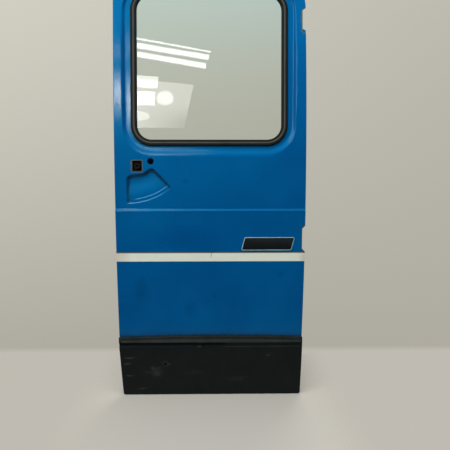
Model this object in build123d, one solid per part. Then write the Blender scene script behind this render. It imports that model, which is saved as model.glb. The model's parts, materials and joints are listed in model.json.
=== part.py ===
from build123d import *
import os
from math import asin, cos, degrees, radians, sin, sqrt, tan

os.makedirs("parts", exist_ok=True)

# Rear barn door leaf of a van, taken off its hinges and stripped of its handle.
# Drawing frame: x from the closing edge towards the hinges, y from the outer face into the van,
# z up from the lower edge of the outer skin. The finished pieces move to the hinge seat at the end.

# Leaf: the skin is crowned from top to bottom, and its hinge edge bows a little
LEAF_WIDTH = 730.0
LEAF_HEIGHT = 1645.0
CORNER_RADIUS = 16.0
HINGE_TOP_RADIUS = 140.0
CROWN_RADIUS = 7000.0
CROWN_APEX = 900.0
BOW_RADIUS = 45000.0
BOW_APEX = 830.0

# Pressed sheets and the gap between pieces that lie on each other
SKIN_SHEET = 1.0
FRAME_SHEET = 1.5
FIT = 0.2
HEM_WIDTH = 12.0
BOX_INSET = 26.0
BOX_DEPTH = 48.0

# Window, sized by the glass that shows inside the seal, measured from the leaf's edges
SIGHT_LATCH_MARGIN = 88.0
SIGHT_HINGE_MARGIN = 96.0
SIGHT_HEAD_MARGIN = 95.0
SIGHT_HEIGHT = 540.0
SIGHT_CORNER = 55.0
RECESS_DEPTH = 12.0
RIM_SIDE = 21.0
RIM_FOOT = 15.0
SLOPE_SIDE = 0.85
SLOPE_HEAD = 2.0
SLOPE_FOOT = 4.0
SLOPE_CORNER = 60.0
GLASS_THICKNESS = 5.0
SEAL_WIDTH = 25.0
SEAL_LAP = 9.0
SEAL_FRONT = 7.0
SEAL_BACK = 6.0
SEAL_CHAMFER = 3.0
SEAL_CLEARANCE = 5.0
FILLER_WIDTH = 9.0
FILLER_GROOVE = 2.5
FILLER_PROUD = 1.0
FILLER_CHAMFER = 1.5

# Handle hole, lock hole and hand pocket, measured from the middle of the square hole
HANDLE_X = 86.0
HANDLE_DROP = 100.0
SQUARE_HOLE_WIDTH = 36.0
SQUARE_HOLE_HEIGHT = 40.0
SQUARE_HOLE_CORNER = 3.0
LOCK_HOLE_RADIUS = 12.5
LOCK_BORE_RADIUS = 11.0
LOCK_SIDE = 51.0
LOCK_RISE = 18.0
BACKING_SHEET = 2.5
BACKING_MARGIN = 12.0
POCKET_LEFT = 32.0
POCKET_TOP = 38.0
POCKET_SHELF = 63.0
POCKET_PEAK_SIDE = 55.0
POCKET_PEAK_DROP = 13.0
POCKET_TIP_SIDE = 125.0
POCKET_TIP_DROP = 81.0
POCKET_FOOT = 140.0
POCKET_BULGE = 15.0
POCKET_CORNER = 12.0
POCKET_DEPTH = 8.0
POCKET_DRAFT = 30.0

# Swage line below the pocket: the upper panel lies a step behind the lower one
CREASE_DROP = 27.0
CREASE_RISE = 8.0
CREASE_STEP = 3.0

# Pale stripe below the swage line
STRIPE_DROP = 163.0
STRIPE_HEIGHT = 37.0
STRIPE_SHEET = 1.0

# Hinge notches and seats
LOWER_NOTCH_LENGTH = 109.0
UPPER_NOTCH_LENGTH = 90.0
UPPER_HINGE_DROP = 185.0
NOTCH_SHOULDER = 12.0
NOTCH_CORNER = 4.0
SEAT_LENGTH = 76.0
SEAT_WIDTH = 30.0
SEAT_THICKNESS = 5.0
SEAT_CORNER = 4.0
HINGE_BOLT_SPACING = 46.0
HINGE_BOLT_RADIUS = 4.5

# Latch behind the handle
LATCH_CASE_LENGTH = 60.0
LATCH_CASE_HEIGHT = 62.0
LATCH_CASE_DEPTH = 22.0
LATCH_CASE_SHEET = 2.0
LATCH_PLATE_LENGTH = 90.0
BOLT_HEIGHT = 24.0
BOLT_THICKNESS = 14.0
BOLT_THROW = 12.0
BOLT_PLAY = 0.5
FOLLOWER_RADIUS = 13.0
FOLLOWER_LENGTH = 8.0
FOLLOWER_CHAMFER = 2.0
SPINDLE_SQUARE = 9.0

# Inner rails, cover sheets and brace
WAIST_RAIL_HEIGHT = 38.0
MID_RAIL_HEIGHT = 60.0
BOTTOM_RAIL_HEIGHT = 58.0
INNER_SHEET = 1.0
SHEET_LAP = 14.0
ACCESS_MARGIN = 62.0
ACCESS_CORNER = 45.0
BRACE_HEIGHT = 46.0
BRACE_DEPTH = 20.0

# Lower cladding
CLADDING_TOP = 235.0
CLADDING_ARCH = 6.5
CLADDING_DROP = 8.0
CLADDING_OVERHANG = 2.0
CLADDING_PROUD = 13.0
CLADDING_WALL = 3.0
CLADDING_CORNER = 14.0
LIP_HEIGHT = 26.0
LIP_EDGE = 5.0
GROOVE_HEIGHT = 6.0
GROOVE_DEPTH = 3.0

# Working room beyond the leaf for the cutting solids
REACH = 80.0
BACK = 320.0
RECESS_REACH = 24.0

# Places that follow from the driving dimensions
SIGHT_WIDTH = LEAF_WIDTH - SIGHT_LATCH_MARGIN - SIGHT_HINGE_MARGIN
SIGHT_BOTTOM = LEAF_HEIGHT - SIGHT_HEAD_MARGIN - SIGHT_HEIGHT
WINDOW_X = SIGHT_LATCH_MARGIN + SIGHT_WIDTH / 2
WINDOW_Z = SIGHT_BOTTOM + SIGHT_HEIGHT / 2
HANDLE_Z = SIGHT_BOTTOM - HANDLE_DROP
CREASE_Z = HANDLE_Z - POCKET_FOOT - CREASE_DROP
STRIPE_TOP = CREASE_Z - STRIPE_DROP
STRIPE_BOTTOM = STRIPE_TOP - STRIPE_HEIGHT
LOWER_HINGE_Z = STRIPE_TOP + LOWER_NOTCH_LENGTH / 2
UPPER_HINGE_Z = LEAF_HEIGHT - UPPER_HINGE_DROP
BRACE_Z = (CLADDING_TOP + STRIPE_BOTTOM) / 2
RIM_BACK = RECESS_DEPTH + SKIN_SHEET
FLANGE_BACK = RIM_BACK + FIT + FRAME_SHEET
GLASS_FRONT = (RECESS_DEPTH + FLANGE_BACK - GLASS_THICKNESS) / 2
SEAL_FACE = RECESS_DEPTH - SEAL_FRONT
HEM_BACK = 2 * SKIN_SHEET + FRAME_SHEET + 2 * FIT
LATCH_WALL = SIGHT_LATCH_MARGIN - SEAL_WIDTH - SEAL_CLEARANCE
HINGE_WALL = LEAF_WIDTH - SIGHT_HINGE_MARGIN + SEAL_WIDTH + SEAL_CLEARANCE
WAIST_TOP = SIGHT_BOTTOM - SEAL_WIDTH - SEAL_CLEARANCE
WAIST_BOTTOM = WAIST_TOP - WAIST_RAIL_HEIGHT
STILE_JOINT = WAIST_TOP - WAIST_RAIL_HEIGHT / 2
HEAD_BOTTOM = SIGHT_BOTTOM + SIGHT_HEIGHT + SEAL_WIDTH + SEAL_CLEARANCE
BOX_HINGE_SIDE = LEAF_WIDTH - BOX_INSET
HINGE_FACE = BOX_HINGE_SIDE + SEAT_THICKNESS
SEAT_DEPTH = (CREASE_STEP + HEM_BACK + BOX_DEPTH) / 2
MID_RAIL_BOTTOM = STRIPE_TOP - MID_RAIL_HEIGHT / 2
MID_RAIL_TOP = STRIPE_TOP + MID_RAIL_HEIGHT / 2


def crown_y(depth, height):
    """Y of the surface that lies a depth behind the crowned outer face."""
    return CROWN_RADIUS - sqrt((CROWN_RADIUS - depth) ** 2 - (height - CROWN_APEX) ** 2)


def crown_point(depth, height):
    """Point of that surface in the side view."""
    return Vector(0, crown_y(depth, height), height)


def crown_arc(depth, low, high):
    """Arc of that surface between two heights, in the side view."""
    middle = (low + high) / 2
    return ThreePointArc(crown_point(depth, low), crown_point(depth, middle), crown_point(depth, high))


def closed_at_back(front):
    """Solid behind a chain of side view edges, bottom to top, over the whole width."""
    foot = front[0] @ 0
    head = front[-1] @ 1
    low_corner = Vector(0, BACK, foot.Z)
    high_corner = Vector(0, BACK, head.Z)
    sides = [Line(head, high_corner), Line(high_corner, low_corner), Line(low_corner, foot)]
    return Pos(-REACH, 0, 0) * extrude(make_face(front + sides), LEAF_WIDTH + 2 * REACH, dir=(1, 0, 0))


def behind(depth):
    """Everything that lies deeper than a surface parallel to the crown."""
    return closed_at_back([crown_arc(depth, -REACH, LEAF_HEIGHT + REACH)])


def behind_panel(depth):
    """Everything that lies deeper than the outer panel with its swage line."""
    lower = crown_arc(depth, -REACH, CREASE_Z - CREASE_RISE / 2)
    upper = crown_arc(depth + CREASE_STEP, CREASE_Z + CREASE_RISE / 2, LEAF_HEIGHT + REACH)
    return closed_at_back([lower, Line(lower @ 1, upper @ 0), upper])


def prism(plan):
    """Front view outline drawn out through the whole depth."""
    return extrude(Plane.XZ.offset(REACH) * plan, amount=-(REACH + BACK))


def between(left, right, low, high):
    """Rectangle of the front view between two sides and two heights."""
    return Pos((left + right) / 2, (low + high) / 2) * Rectangle(right - left, high - low)


def leaf_plan(inset=0.0):
    """Front view outline of the leaf with its bowed hinge edge, drawn in by an inset."""
    bow = Pos(LEAF_WIDTH - BOW_RADIUS, BOW_APEX) * Circle(BOW_RADIUS - inset)
    plan = between(inset, LEAF_WIDTH, inset, LEAF_HEIGHT - inset) & bow
    plan = fillet(plan.vertices().sort_by(lambda v: v.X + v.Y)[-1], HINGE_TOP_RADIUS - inset)
    square = [v for v in plan.vertices() if min(v.X, v.Y) < inset + SKIN_SHEET]
    return fillet(square, CORNER_RADIUS - inset)


def box_plan(wall=0.0):
    """Front view outline of the straight sided inner box, drawn in by a wall."""
    inset = BOX_INSET + wall
    plan = between(inset, LEAF_WIDTH - inset, inset, LEAF_HEIGHT - inset)
    return fillet(plan.vertices().sort_by(lambda v: v.X + v.Y)[-1], HINGE_TOP_RADIUS - inset)


def sight_plan(grow=0.0):
    """Outline round the glass that shows, about the window's middle, grown evenly."""
    return RectangleRounded(SIGHT_WIDTH + 2 * grow, SIGHT_HEIGHT + 2 * grow, SIGHT_CORNER + grow)


WINDOW_LEAN = degrees(asin((WINDOW_Z - CROWN_APEX) / CROWN_RADIUS))
WINDOW_PLACE = Location((WINDOW_X, crown_y(CREASE_STEP, WINDOW_Z), WINDOW_Z), (90 - WINDOW_LEAN, 0, 0))
PANE = Plane(WINDOW_PLACE)
OUTWARD = Axis(PANE.origin, PANE.z_dir)


def pane_layer(plan, front, back):
    """Flat layer of the window between two depths behind the panel."""
    return extrude(PANE.offset(-back) * plan, back - front)


def recess_outline(sideways, head, foot, corner):
    """Rim outline of the window recess, widened by its slopes."""
    width = SIGHT_WIDTH + 2 * (SEAL_WIDTH + RIM_SIDE + sideways)
    height = SIGHT_HEIGHT + 2 * SEAL_WIDTH + RIM_SIDE + head + RIM_FOOT + foot
    rise = (RIM_SIDE + head - RIM_FOOT - foot) / 2
    return Pos(0, rise) * RectangleRounded(width, height, SIGHT_CORNER + SEAL_WIDTH + RIM_SIDE + corner)


def window_recess(depth):
    """Space of the sloped window recess, moved back by a sheet's depth."""
    grow = depth * (sqrt(2) - 1)
    floor = recess_outline(grow, grow, grow, grow)
    mouth = recess_outline(
        RECESS_REACH * SLOPE_SIDE + grow, RECESS_REACH * SLOPE_HEAD + grow,
        RECESS_REACH * SLOPE_FOOT + grow, SLOPE_CORNER + grow)
    floor_plane = PANE.offset(-RECESS_DEPTH - depth)
    return loft([floor_plane * floor, floor_plane.offset(RECESS_REACH) * mouth], ruled=True)


def pocket_plan(grow):
    """Fan shaped hand pocket below the handle, grown evenly."""
    foot = Vector(HANDLE_X - POCKET_LEFT, HANDLE_Z - POCKET_FOOT)
    corner = Vector(HANDLE_X - POCKET_LEFT, HANDLE_Z - POCKET_TOP)
    shelf = corner + Vector(POCKET_SHELF, 0)
    peak = Vector(HANDLE_X + POCKET_PEAK_SIDE, HANDLE_Z - POCKET_PEAK_DROP)
    tip = Vector(HANDLE_X + POCKET_TIP_SIDE, HANDLE_Z - POCKET_TIP_DROP)
    sides = Polyline(foot, corner, shelf, peak, tip)
    plan = make_face([*sides.edges(), SagittaArc(tip, foot, POCKET_BULGE)])
    return offset(fillet(plan.vertices(), POCKET_CORNER), grow)


def hand_pocket(depth):
    """Space of the hand pocket with drafted walls, moved back by a sheet's depth."""
    draft = tan(radians(POCKET_DRAFT))
    grow = depth * (sqrt(2) - 1)
    floor_y = crown_y(CREASE_STEP + POCKET_DEPTH + depth, HANDLE_Z - POCKET_FOOT / 2)
    floor = Plane.XZ.offset(-floor_y) * pocket_plan(grow - POCKET_DEPTH * draft)
    mouth = Plane.XZ.offset(POCKET_DEPTH - floor_y) * pocket_plan(grow)
    throat = Plane.XZ.offset(2 * POCKET_DEPTH - floor_y) * pocket_plan(grow)
    return loft([floor, mouth], ruled=True) + loft([mouth, throat], ruled=True)


def handle_holes(lock_radius):
    """Square hole of the handle and round hole of the lock barrel."""
    square = RectangleRounded(SQUARE_HOLE_WIDTH, SQUARE_HOLE_HEIGHT, SQUARE_HOLE_CORNER)
    lock = Pos(HANDLE_X + LOCK_SIDE, HANDLE_Z + LOCK_RISE) * Circle(lock_radius)
    return Pos(HANDLE_X, HANDLE_Z) * square + lock


def notch_plan(centre, length):
    """Hinge notch with sloped shoulders in the hinge edge of the skin."""
    floor = length / 2 - NOTCH_SHOULDER
    flare = floor + NOTCH_SHOULDER * (LEAF_WIDTH + REACH - HINGE_FACE) / (LEAF_WIDTH - HINGE_FACE)
    mouth = LEAF_WIDTH + REACH
    plan = make_face(Polyline(
        (HINGE_FACE, centre - floor), (HINGE_FACE, centre + floor),
        (mouth, centre + flare), (mouth, centre - flare), close=True))
    return fillet(plan.vertices().group_by(Axis.X)[0], NOTCH_CORNER)


HINGE_NOTCHES = prism(
    notch_plan(LOWER_HINGE_Z, LOWER_NOTCH_LENGTH) + notch_plan(UPPER_HINGE_Z, UPPER_NOTCH_LENGTH))


def pressed_behind(depth):
    """Outer panel with its window recess and hand pocket, and everything behind it."""
    return (behind_panel(depth) & prism(leaf_plan())) - window_recess(depth) - hand_pocket(depth)


APERTURE = pane_layer(sight_plan(SEAL_WIDTH - SEAL_LAP), -REACH, REACH)


def outer_skin():
    """Outer pressing with a hemmed edge, window recess, hand pocket, holes and notches."""
    sheet = pressed_behind(0) - pressed_behind(SKIN_SHEET)
    hem_layer = behind_panel(HEM_BACK - SKIN_SHEET) - behind_panel(HEM_BACK)
    edge_layer = behind_panel(0) - behind_panel(HEM_BACK)
    sheet += hem_layer & prism(leaf_plan() - leaf_plan(HEM_WIDTH))
    sheet += edge_layer & prism(leaf_plan() - leaf_plan(SKIN_SHEET))
    return sheet - APERTURE - prism(handle_holes(LOCK_HOLE_RADIUS)) - HINGE_NOTCHES


FRAME_FRONT = pressed_behind(SKIN_SHEET + FIT)
FRAME_SPACE = FRAME_FRONT - behind(BOX_DEPTH)
FLANGE_LAYER = FRAME_FRONT - pressed_behind(SKIN_SHEET + FIT + FRAME_SHEET) - APERTURE
FRAME_CAVITY = behind(-REACH / 2) - behind(BOX_DEPTH - FRAME_SHEET)
EDGE_RING = leaf_plan(SKIN_SHEET + FIT) - box_plan()
WINDOW_RING = between(LATCH_WALL, HINGE_WALL, WAIST_TOP, HEAD_BOTTOM)
WINDOW_FLANGE_REACH = SEAL_CLEARANCE + SEAL_LAP


def channel(outer_plan, inner_plan):
    """Pressed channel, open towards the skin."""
    return (FRAME_SPACE & prism(outer_plan)) - (FRAME_CAVITY & prism(inner_plan))


def flange(ring, left, right, low, high):
    """Flat flange that lies on the back of the skin within part of a ring."""
    return FLANGE_LAYER & prism(ring & between(left, right, low, high))


def latch_stile(low, high):
    """Upright channel at the closing side between two heights, slotted for the latch bolt."""
    member = channel(
        box_plan() & between(0, LATCH_WALL, low, high),
        box_plan(FRAME_SHEET) & between(0, LATCH_WALL - FRAME_SHEET, low, high))
    member += flange(EDGE_RING, 0, LATCH_WALL, low, high)
    return member - bolt_slot()


def hinge_stile(low, high):
    """Upright channel at the hinge side between two heights, drilled behind its seat."""
    member = channel(
        box_plan() & between(HINGE_WALL, LEAF_WIDTH, low, high),
        box_plan(FRAME_SHEET) & between(HINGE_WALL + FRAME_SHEET, LEAF_WIDTH, low, high))
    member += flange(EDGE_RING, HINGE_WALL, LEAF_WIDTH, low, high)
    return member - HINGE_NOTCHES - hinge_bolts(LOWER_HINGE_Z) - hinge_bolts(UPPER_HINGE_Z)


def upper_latch_stile():
    """Closing side of the window frame, with its flange on the rim."""
    rim = flange(WINDOW_RING, LATCH_WALL, LATCH_WALL + WINDOW_FLANGE_REACH, 0, LEAF_HEIGHT)
    return latch_stile(STILE_JOINT + FIT, LEAF_HEIGHT) + rim


def upper_hinge_stile():
    """Hinge side of the window frame, with its flange on the rim."""
    rim = flange(WINDOW_RING, HINGE_WALL - WINDOW_FLANGE_REACH, HINGE_WALL, 0, LEAF_HEIGHT)
    return hinge_stile(STILE_JOINT + FIT, LEAF_HEIGHT) + rim


def rail(low, high):
    """Cross channel between the two stiles."""
    left = LATCH_WALL + FIT
    right = HINGE_WALL - FIT
    hollow = between(left + FRAME_SHEET, right - FRAME_SHEET, low + FRAME_SHEET, high - FRAME_SHEET)
    return channel(box_plan() & between(left, right, low, high), box_plan(FRAME_SHEET) & hollow)


def edge_flange(low, high):
    """Flange of a rail in the hem of the skin, between two heights."""
    return flange(EDGE_RING, LATCH_WALL + FIT, HINGE_WALL - FIT, low, high)


def window_flange(low, high):
    """Flange of a rail on the rim of the window, between two heights."""
    reach = WINDOW_FLANGE_REACH + FIT
    return flange(WINDOW_RING, LATCH_WALL + reach, HINGE_WALL - reach, low, high)


def top_rail():
    """Rail above the window."""
    flanges = edge_flange(HEAD_BOTTOM, LEAF_HEIGHT) + window_flange(WINDOW_Z, HEAD_BOTTOM)
    return rail(HEAD_BOTTOM, LEAF_HEIGHT) + flanges


def waist_rail():
    """Rail below the window."""
    return rail(WAIST_BOTTOM, WAIST_TOP) + window_flange(WAIST_TOP, WINDOW_Z)


def bottom_rail():
    """Rail along the lower edge."""
    return rail(BOX_INSET, BOX_INSET + BOTTOM_RAIL_HEIGHT) + edge_flange(0, BOX_INSET)


def inner_sheet(low, high):
    """Cover sheet on the inner side of stiles and rails, with one large access opening."""
    left = LATCH_WALL - SHEET_LAP
    right = HINGE_WALL + SHEET_LAP
    access = between(left + ACCESS_MARGIN, right - ACCESS_MARGIN, low + ACCESS_MARGIN, high - ACCESS_MARGIN)
    plan = between(left, right, low, high) - fillet(access.vertices(), ACCESS_CORNER)
    front = BOX_DEPTH + FIT
    return prism(plan) & (behind(front) - behind(front + INNER_SHEET))


def skin_brace():
    """Shallow channel across the inside of the lower panel."""
    left = LATCH_WALL + FIT
    right = HINGE_WALL - FIT
    low = BRACE_Z - BRACE_HEIGHT / 2
    high = BRACE_Z + BRACE_HEIGHT / 2
    bar = (behind(SKIN_SHEET + FIT) - behind(BRACE_DEPTH)) & prism(between(left, right, low, high))
    hollow = prism(between(left - REACH, right + REACH, low + FRAME_SHEET, high - FRAME_SHEET))
    return bar - (hollow - behind(BRACE_DEPTH - FRAME_SHEET))


def seat_y(height):
    """Y of the middle of a side plate at a height."""
    return crown_y(SEAT_DEPTH, height)


def hinge_bolts(height):
    """Two hinge bolt holes along x through the hinge side of the box."""
    drill = Rot(0, 90, 0) * Cylinder(HINGE_BOLT_RADIUS, 2 * BOX_INSET)
    half = HINGE_BOLT_SPACING / 2
    holes = Pos(0, 0, half) * drill + Pos(0, 0, -half) * drill
    return Pos(BOX_HINGE_SIDE, seat_y(height), height) * holes


def side_plate(x_low, length, height):
    """Rounded plate that lies flat on a side wall of the box."""
    plate = extrude(Plane.YZ * RectangleRounded(SEAT_WIDTH, length, SEAT_CORNER), SEAT_THICKNESS)
    return Pos(x_low, seat_y(height), height) * plate


def hinge_seat(height):
    """Thick hinge plate with its two bolt holes."""
    return side_plate(BOX_HINGE_SIDE, SEAT_LENGTH, height) - hinge_bolts(height)


def bolt_slot():
    """Slot along x for the latch bolt, with play all round."""
    slot = Box(4 * BOX_INSET, BOLT_THICKNESS + 2 * BOLT_PLAY, BOLT_HEIGHT + 2 * BOLT_PLAY)
    return Pos(BOX_INSET, seat_y(HANDLE_Z), HANDLE_Z) * slot


def latch_plate():
    """Wear plate round the latch bolt on the closing side of the box."""
    return side_plate(BOX_INSET - SEAT_THICKNESS, LATCH_PLATE_LENGTH, HANDLE_Z) - bolt_slot()


def latch_case():
    """Pressed case of the latch, open towards the stile."""
    outer = Box(LATCH_CASE_LENGTH, LATCH_CASE_DEPTH, LATCH_CASE_HEIGHT)
    inner_depth = LATCH_CASE_DEPTH - 2 * LATCH_CASE_SHEET
    inner_height = LATCH_CASE_HEIGHT - 2 * LATCH_CASE_SHEET
    inner = Pos(-LATCH_CASE_SHEET, 0, 0) * Box(LATCH_CASE_LENGTH, inner_depth, inner_height)
    middle_x = LATCH_WALL + FIT + LATCH_CASE_LENGTH / 2
    return Pos(middle_x, seat_y(HANDLE_Z), HANDLE_Z) * (outer - inner)


def latch_bolt():
    """Slam bolt with a sloped nose that stands out of the closing side of the box."""
    nose = BOX_INSET - SEAT_THICKNESS - BOLT_THROW
    tail = LATCH_WALL + LATCH_CASE_LENGTH / 2
    front = seat_y(HANDLE_Z) - BOLT_THICKNESS / 2
    back = front + BOLT_THICKNESS
    plan = make_face(Polyline(
        (nose, back), (nose + BOLT_THROW, front), (tail, front), (tail, back), close=True))
    return Pos(0, 0, HANDLE_Z - BOLT_HEIGHT / 2) * extrude(plan, BOLT_HEIGHT)


def latch_follower():
    """Hub with a square socket on the latch case, seen through the square hole."""
    hub = Cylinder(FOLLOWER_RADIUS, FOLLOWER_LENGTH)
    hub = chamfer(hub.edges().group_by(Axis.Z)[-1], FOLLOWER_CHAMFER)
    hub -= Box(SPINDLE_SQUARE, SPINDLE_SQUARE, 2 * FOLLOWER_LENGTH)
    middle_y = seat_y(HANDLE_Z) - LATCH_CASE_DEPTH / 2 - FOLLOWER_LENGTH / 2
    return Pos(HANDLE_X, middle_y, HANDLE_Z) * Rot(90, 0, 0) * hub


def handle_backing_plate():
    """Doubling plate behind the handle holes, shaped to pass over the hand pocket."""
    right = HANDLE_X + LOCK_SIDE + LOCK_HOLE_RADIUS + BACKING_MARGIN
    plan = between(LATCH_WALL + FIT, right, HANDLE_Z - POCKET_TOP + POCKET_CORNER, WAIST_BOTTOM - FIT)
    plan -= pocket_plan(POCKET_CORNER / 2)
    plan -= handle_holes(LOCK_BORE_RADIUS)
    front = CREASE_STEP + SKIN_SHEET + FIT
    return prism(plan) & (behind(front) - behind(front + BACKING_SHEET))


def window_glass():
    """Flat toughened pane held in the seal."""
    return pane_layer(sight_plan(SEAL_LAP), GLASS_FRONT, GLASS_FRONT + GLASS_THICKNESS)


def seal_groove(room=0.0):
    """Plan of the filler groove in the middle of the seal, narrowed by room on both sides."""
    half = FILLER_WIDTH / 2 - room
    return sight_plan(SEAL_WIDTH / 2 + half) - sight_plan(SEAL_WIDTH / 2 - half)


def front_edges(ring):
    """Edges of a window ring that lie on its outermost face."""
    return ring.faces().filter_by(OUTWARD).sort_by(OUTWARD)[-1].edges()


def window_seal():
    """Rubber profile that grips the flange on its outer side and the glass on its inner side."""
    ring = pane_layer(sight_plan(SEAL_WIDTH) - sight_plan(), SEAL_FACE, FLANGE_BACK + SEAL_BACK)
    ring = chamfer(front_edges(ring), SEAL_CHAMFER)
    bead = sight_plan(SEAL_WIDTH + REACH / 2) - sight_plan(SEAL_WIDTH - SEAL_LAP - FIT)
    ring -= pane_layer(bead, RECESS_DEPTH - FIT, FLANGE_BACK + FIT)
    ring -= pane_layer(sight_plan(SEAL_LAP + FIT), GLASS_FRONT - FIT, GLASS_FRONT + GLASS_THICKNESS + FIT)
    return ring - pane_layer(seal_groove(), SEAL_FACE - FILLER_PROUD, SEAL_FACE + FILLER_GROOVE)


def seal_filler_strip():
    """Locking strip with bevelled edges, pressed into the groove of the seal."""
    strip = pane_layer(seal_groove(FIT), SEAL_FACE - FILLER_PROUD, SEAL_FACE + FILLER_GROOVE - FIT)
    return chamfer(front_edges(strip), FILLER_CHAMFER)


def body_stripe():
    """Pale band across the lower panel."""
    plan = leaf_plan() & between(0, LEAF_WIDTH, STRIPE_BOTTOM, STRIPE_TOP)
    return (behind(-STRIPE_SHEET - FIT) - behind(-FIT)) & prism(plan)


def cladding_plan(inset=0.0):
    """Front view outline of the lower cladding with its arched upper edge."""
    left = inset - CLADDING_OVERHANG
    low = inset - CLADDING_DROP
    side_top = CLADDING_TOP - inset
    hinge_edge = Pos(LEAF_WIDTH - BOW_RADIUS, BOW_APEX) * Circle(BOW_RADIUS + CLADDING_OVERHANG - inset)
    right = LEAF_WIDTH + CLADDING_OVERHANG
    sides = Polyline((right, side_top), (right, low), (left, low), (left, side_top))
    arch = SagittaArc((left, side_top), (right, side_top), -CLADDING_ARCH)
    plan = make_face([*sides.edges(), arch]) & hinge_edge
    return fillet(plan.vertices().sort_by(Axis.Y)[0:2], CLADDING_CORNER - inset)


def cladding_front(inward):
    """Side view of the cladding's face, moved inwards: panel, groove, and lip up to its edge."""
    lip_foot = CLADDING_TOP - LIP_HEIGHT
    groove_foot = lip_foot - GROOVE_HEIGHT
    face = inward - CLADDING_PROUD
    floor = face + GROOVE_DEPTH
    head = CLADDING_TOP + CLADDING_ARCH
    return [
        crown_arc(face, -REACH, groove_foot - inward),
        Line(crown_point(face, groove_foot - inward), crown_point(floor, groove_foot - inward)),
        crown_arc(floor, groove_foot - inward, lip_foot + inward),
        Line(crown_point(floor, lip_foot + inward), crown_point(face, lip_foot + inward)),
        Line(crown_point(face, lip_foot + inward), crown_point(inward - LIP_EDGE, head)),
        crown_arc(inward - LIP_EDGE, head, LEAF_HEIGHT),
    ]


def lower_cladding():
    """Moulded panel with a sloped upper lip, a groove below it and a thin wall all round."""
    shell = (closed_at_back(cladding_front(0)) - behind(-FIT)) & prism(cladding_plan())
    return shell - (closed_at_back(cladding_front(CLADDING_WALL)) & prism(cladding_plan(CLADDING_WALL)))


NODES = {
    "outer_skin": outer_skin(),
    "upper_hinge_stile": upper_hinge_stile(),
    "lower_hinge_stile": hinge_stile(0, STILE_JOINT),
    "upper_latch_stile": upper_latch_stile(),
    "lower_latch_stile": latch_stile(0, STILE_JOINT),
    "top_rail": top_rail(),
    "waist_rail": waist_rail(),
    "mid_rail": rail(MID_RAIL_BOTTOM, MID_RAIL_TOP),
    "bottom_rail": bottom_rail(),
    "upper_inner_sheet": inner_sheet(STRIPE_TOP + FIT, WAIST_BOTTOM + SHEET_LAP),
    "lower_inner_sheet": inner_sheet(BOX_INSET + BOTTOM_RAIL_HEIGHT - SHEET_LAP, STRIPE_TOP - FIT),
    "skin_brace": skin_brace(),
    "upper_hinge_seat": hinge_seat(UPPER_HINGE_Z),
    "lower_hinge_seat": hinge_seat(LOWER_HINGE_Z),
    "handle_backing_plate": handle_backing_plate(),
    "latch_plate": latch_plate(),
    "latch_case": latch_case(),
    "latch_follower": latch_follower(),
    "latch_bolt": latch_bolt(),
    "window_glass": window_glass(),
    "window_seal": window_seal(),
    "seal_filler_strip": seal_filler_strip(),
    "body_stripe": body_stripe(),
    "lower_cladding": lower_cladding(),
}

# The origin lies on the outer face of the lower hinge seat, at its middle.
TO_HINGE = Pos(-HINGE_FACE, -seat_y(LOWER_HINGE_Z), -LOWER_HINGE_Z)

for name, solid in NODES.items():
    export_step(TO_HINGE * solid, f"parts/{name}.step")
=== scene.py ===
"""Looks of a van's rear door leaf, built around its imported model."""

import json
import logging
import math
from dataclasses import dataclass
from enum import Enum
from typing import Callable

import bmesh
import bpy
import numpy as np
from mathutils import Matrix, Vector
from mathutils.geometry import delaunay_2d_cdt


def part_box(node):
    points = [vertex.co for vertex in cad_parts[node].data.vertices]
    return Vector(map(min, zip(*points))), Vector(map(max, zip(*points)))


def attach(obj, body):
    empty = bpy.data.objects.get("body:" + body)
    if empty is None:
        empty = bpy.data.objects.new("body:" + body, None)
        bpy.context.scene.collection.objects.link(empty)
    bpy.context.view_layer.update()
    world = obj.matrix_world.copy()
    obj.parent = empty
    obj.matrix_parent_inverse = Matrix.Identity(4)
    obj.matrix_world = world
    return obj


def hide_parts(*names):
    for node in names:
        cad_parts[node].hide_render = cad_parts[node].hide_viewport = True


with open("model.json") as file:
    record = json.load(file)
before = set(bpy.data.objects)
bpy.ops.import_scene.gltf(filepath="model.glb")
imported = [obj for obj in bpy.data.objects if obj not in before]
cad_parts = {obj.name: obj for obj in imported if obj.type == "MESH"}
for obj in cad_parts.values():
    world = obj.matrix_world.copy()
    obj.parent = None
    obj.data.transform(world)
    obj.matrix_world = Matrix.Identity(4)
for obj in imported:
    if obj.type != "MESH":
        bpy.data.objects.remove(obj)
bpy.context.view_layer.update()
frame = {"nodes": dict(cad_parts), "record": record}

MM = 0.001
BODY = "root"
LOG = logging.getLogger("door_leaf")
MERGE = 1e-6
Plan = np.ndarray
Surface = Callable[[Plan, Plan], Plan]
Point = tuple[float, float]
Triple = tuple[float, float, float]
Piece = bpy.types.Object
Material = bpy.types.Material
Tree = bpy.types.NodeTree
Node = bpy.types.Node
Socket = bpy.types.NodeSocket


class Slot(Enum):
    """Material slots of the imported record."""

    PAINT = "body_paint"
    STEEL = "latch_steel"
    RUBBER = "seal_rubber"
    FILLER = "filler_strip"
    CLADDING = "cladding_plastic"


# Helpers


def linear(code: str) -> tuple[float, float, float, float]:
    """Turns an sRGB hex colour into the linear colour that nodes take.

    Args:
        code: Six hex digits with a leading hash sign.

    Returns:
        Linear red, green, blue and an alpha of one.
    """
    parts = [int(code[i:i + 2], 16) / 255 for i in (1, 3, 5)]
    light = [p / 12.92 if p <= 0.04045 else ((p + 0.055) / 1.055) ** 2.4 for p in parts]
    return light[0], light[1], light[2], 1.0


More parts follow.
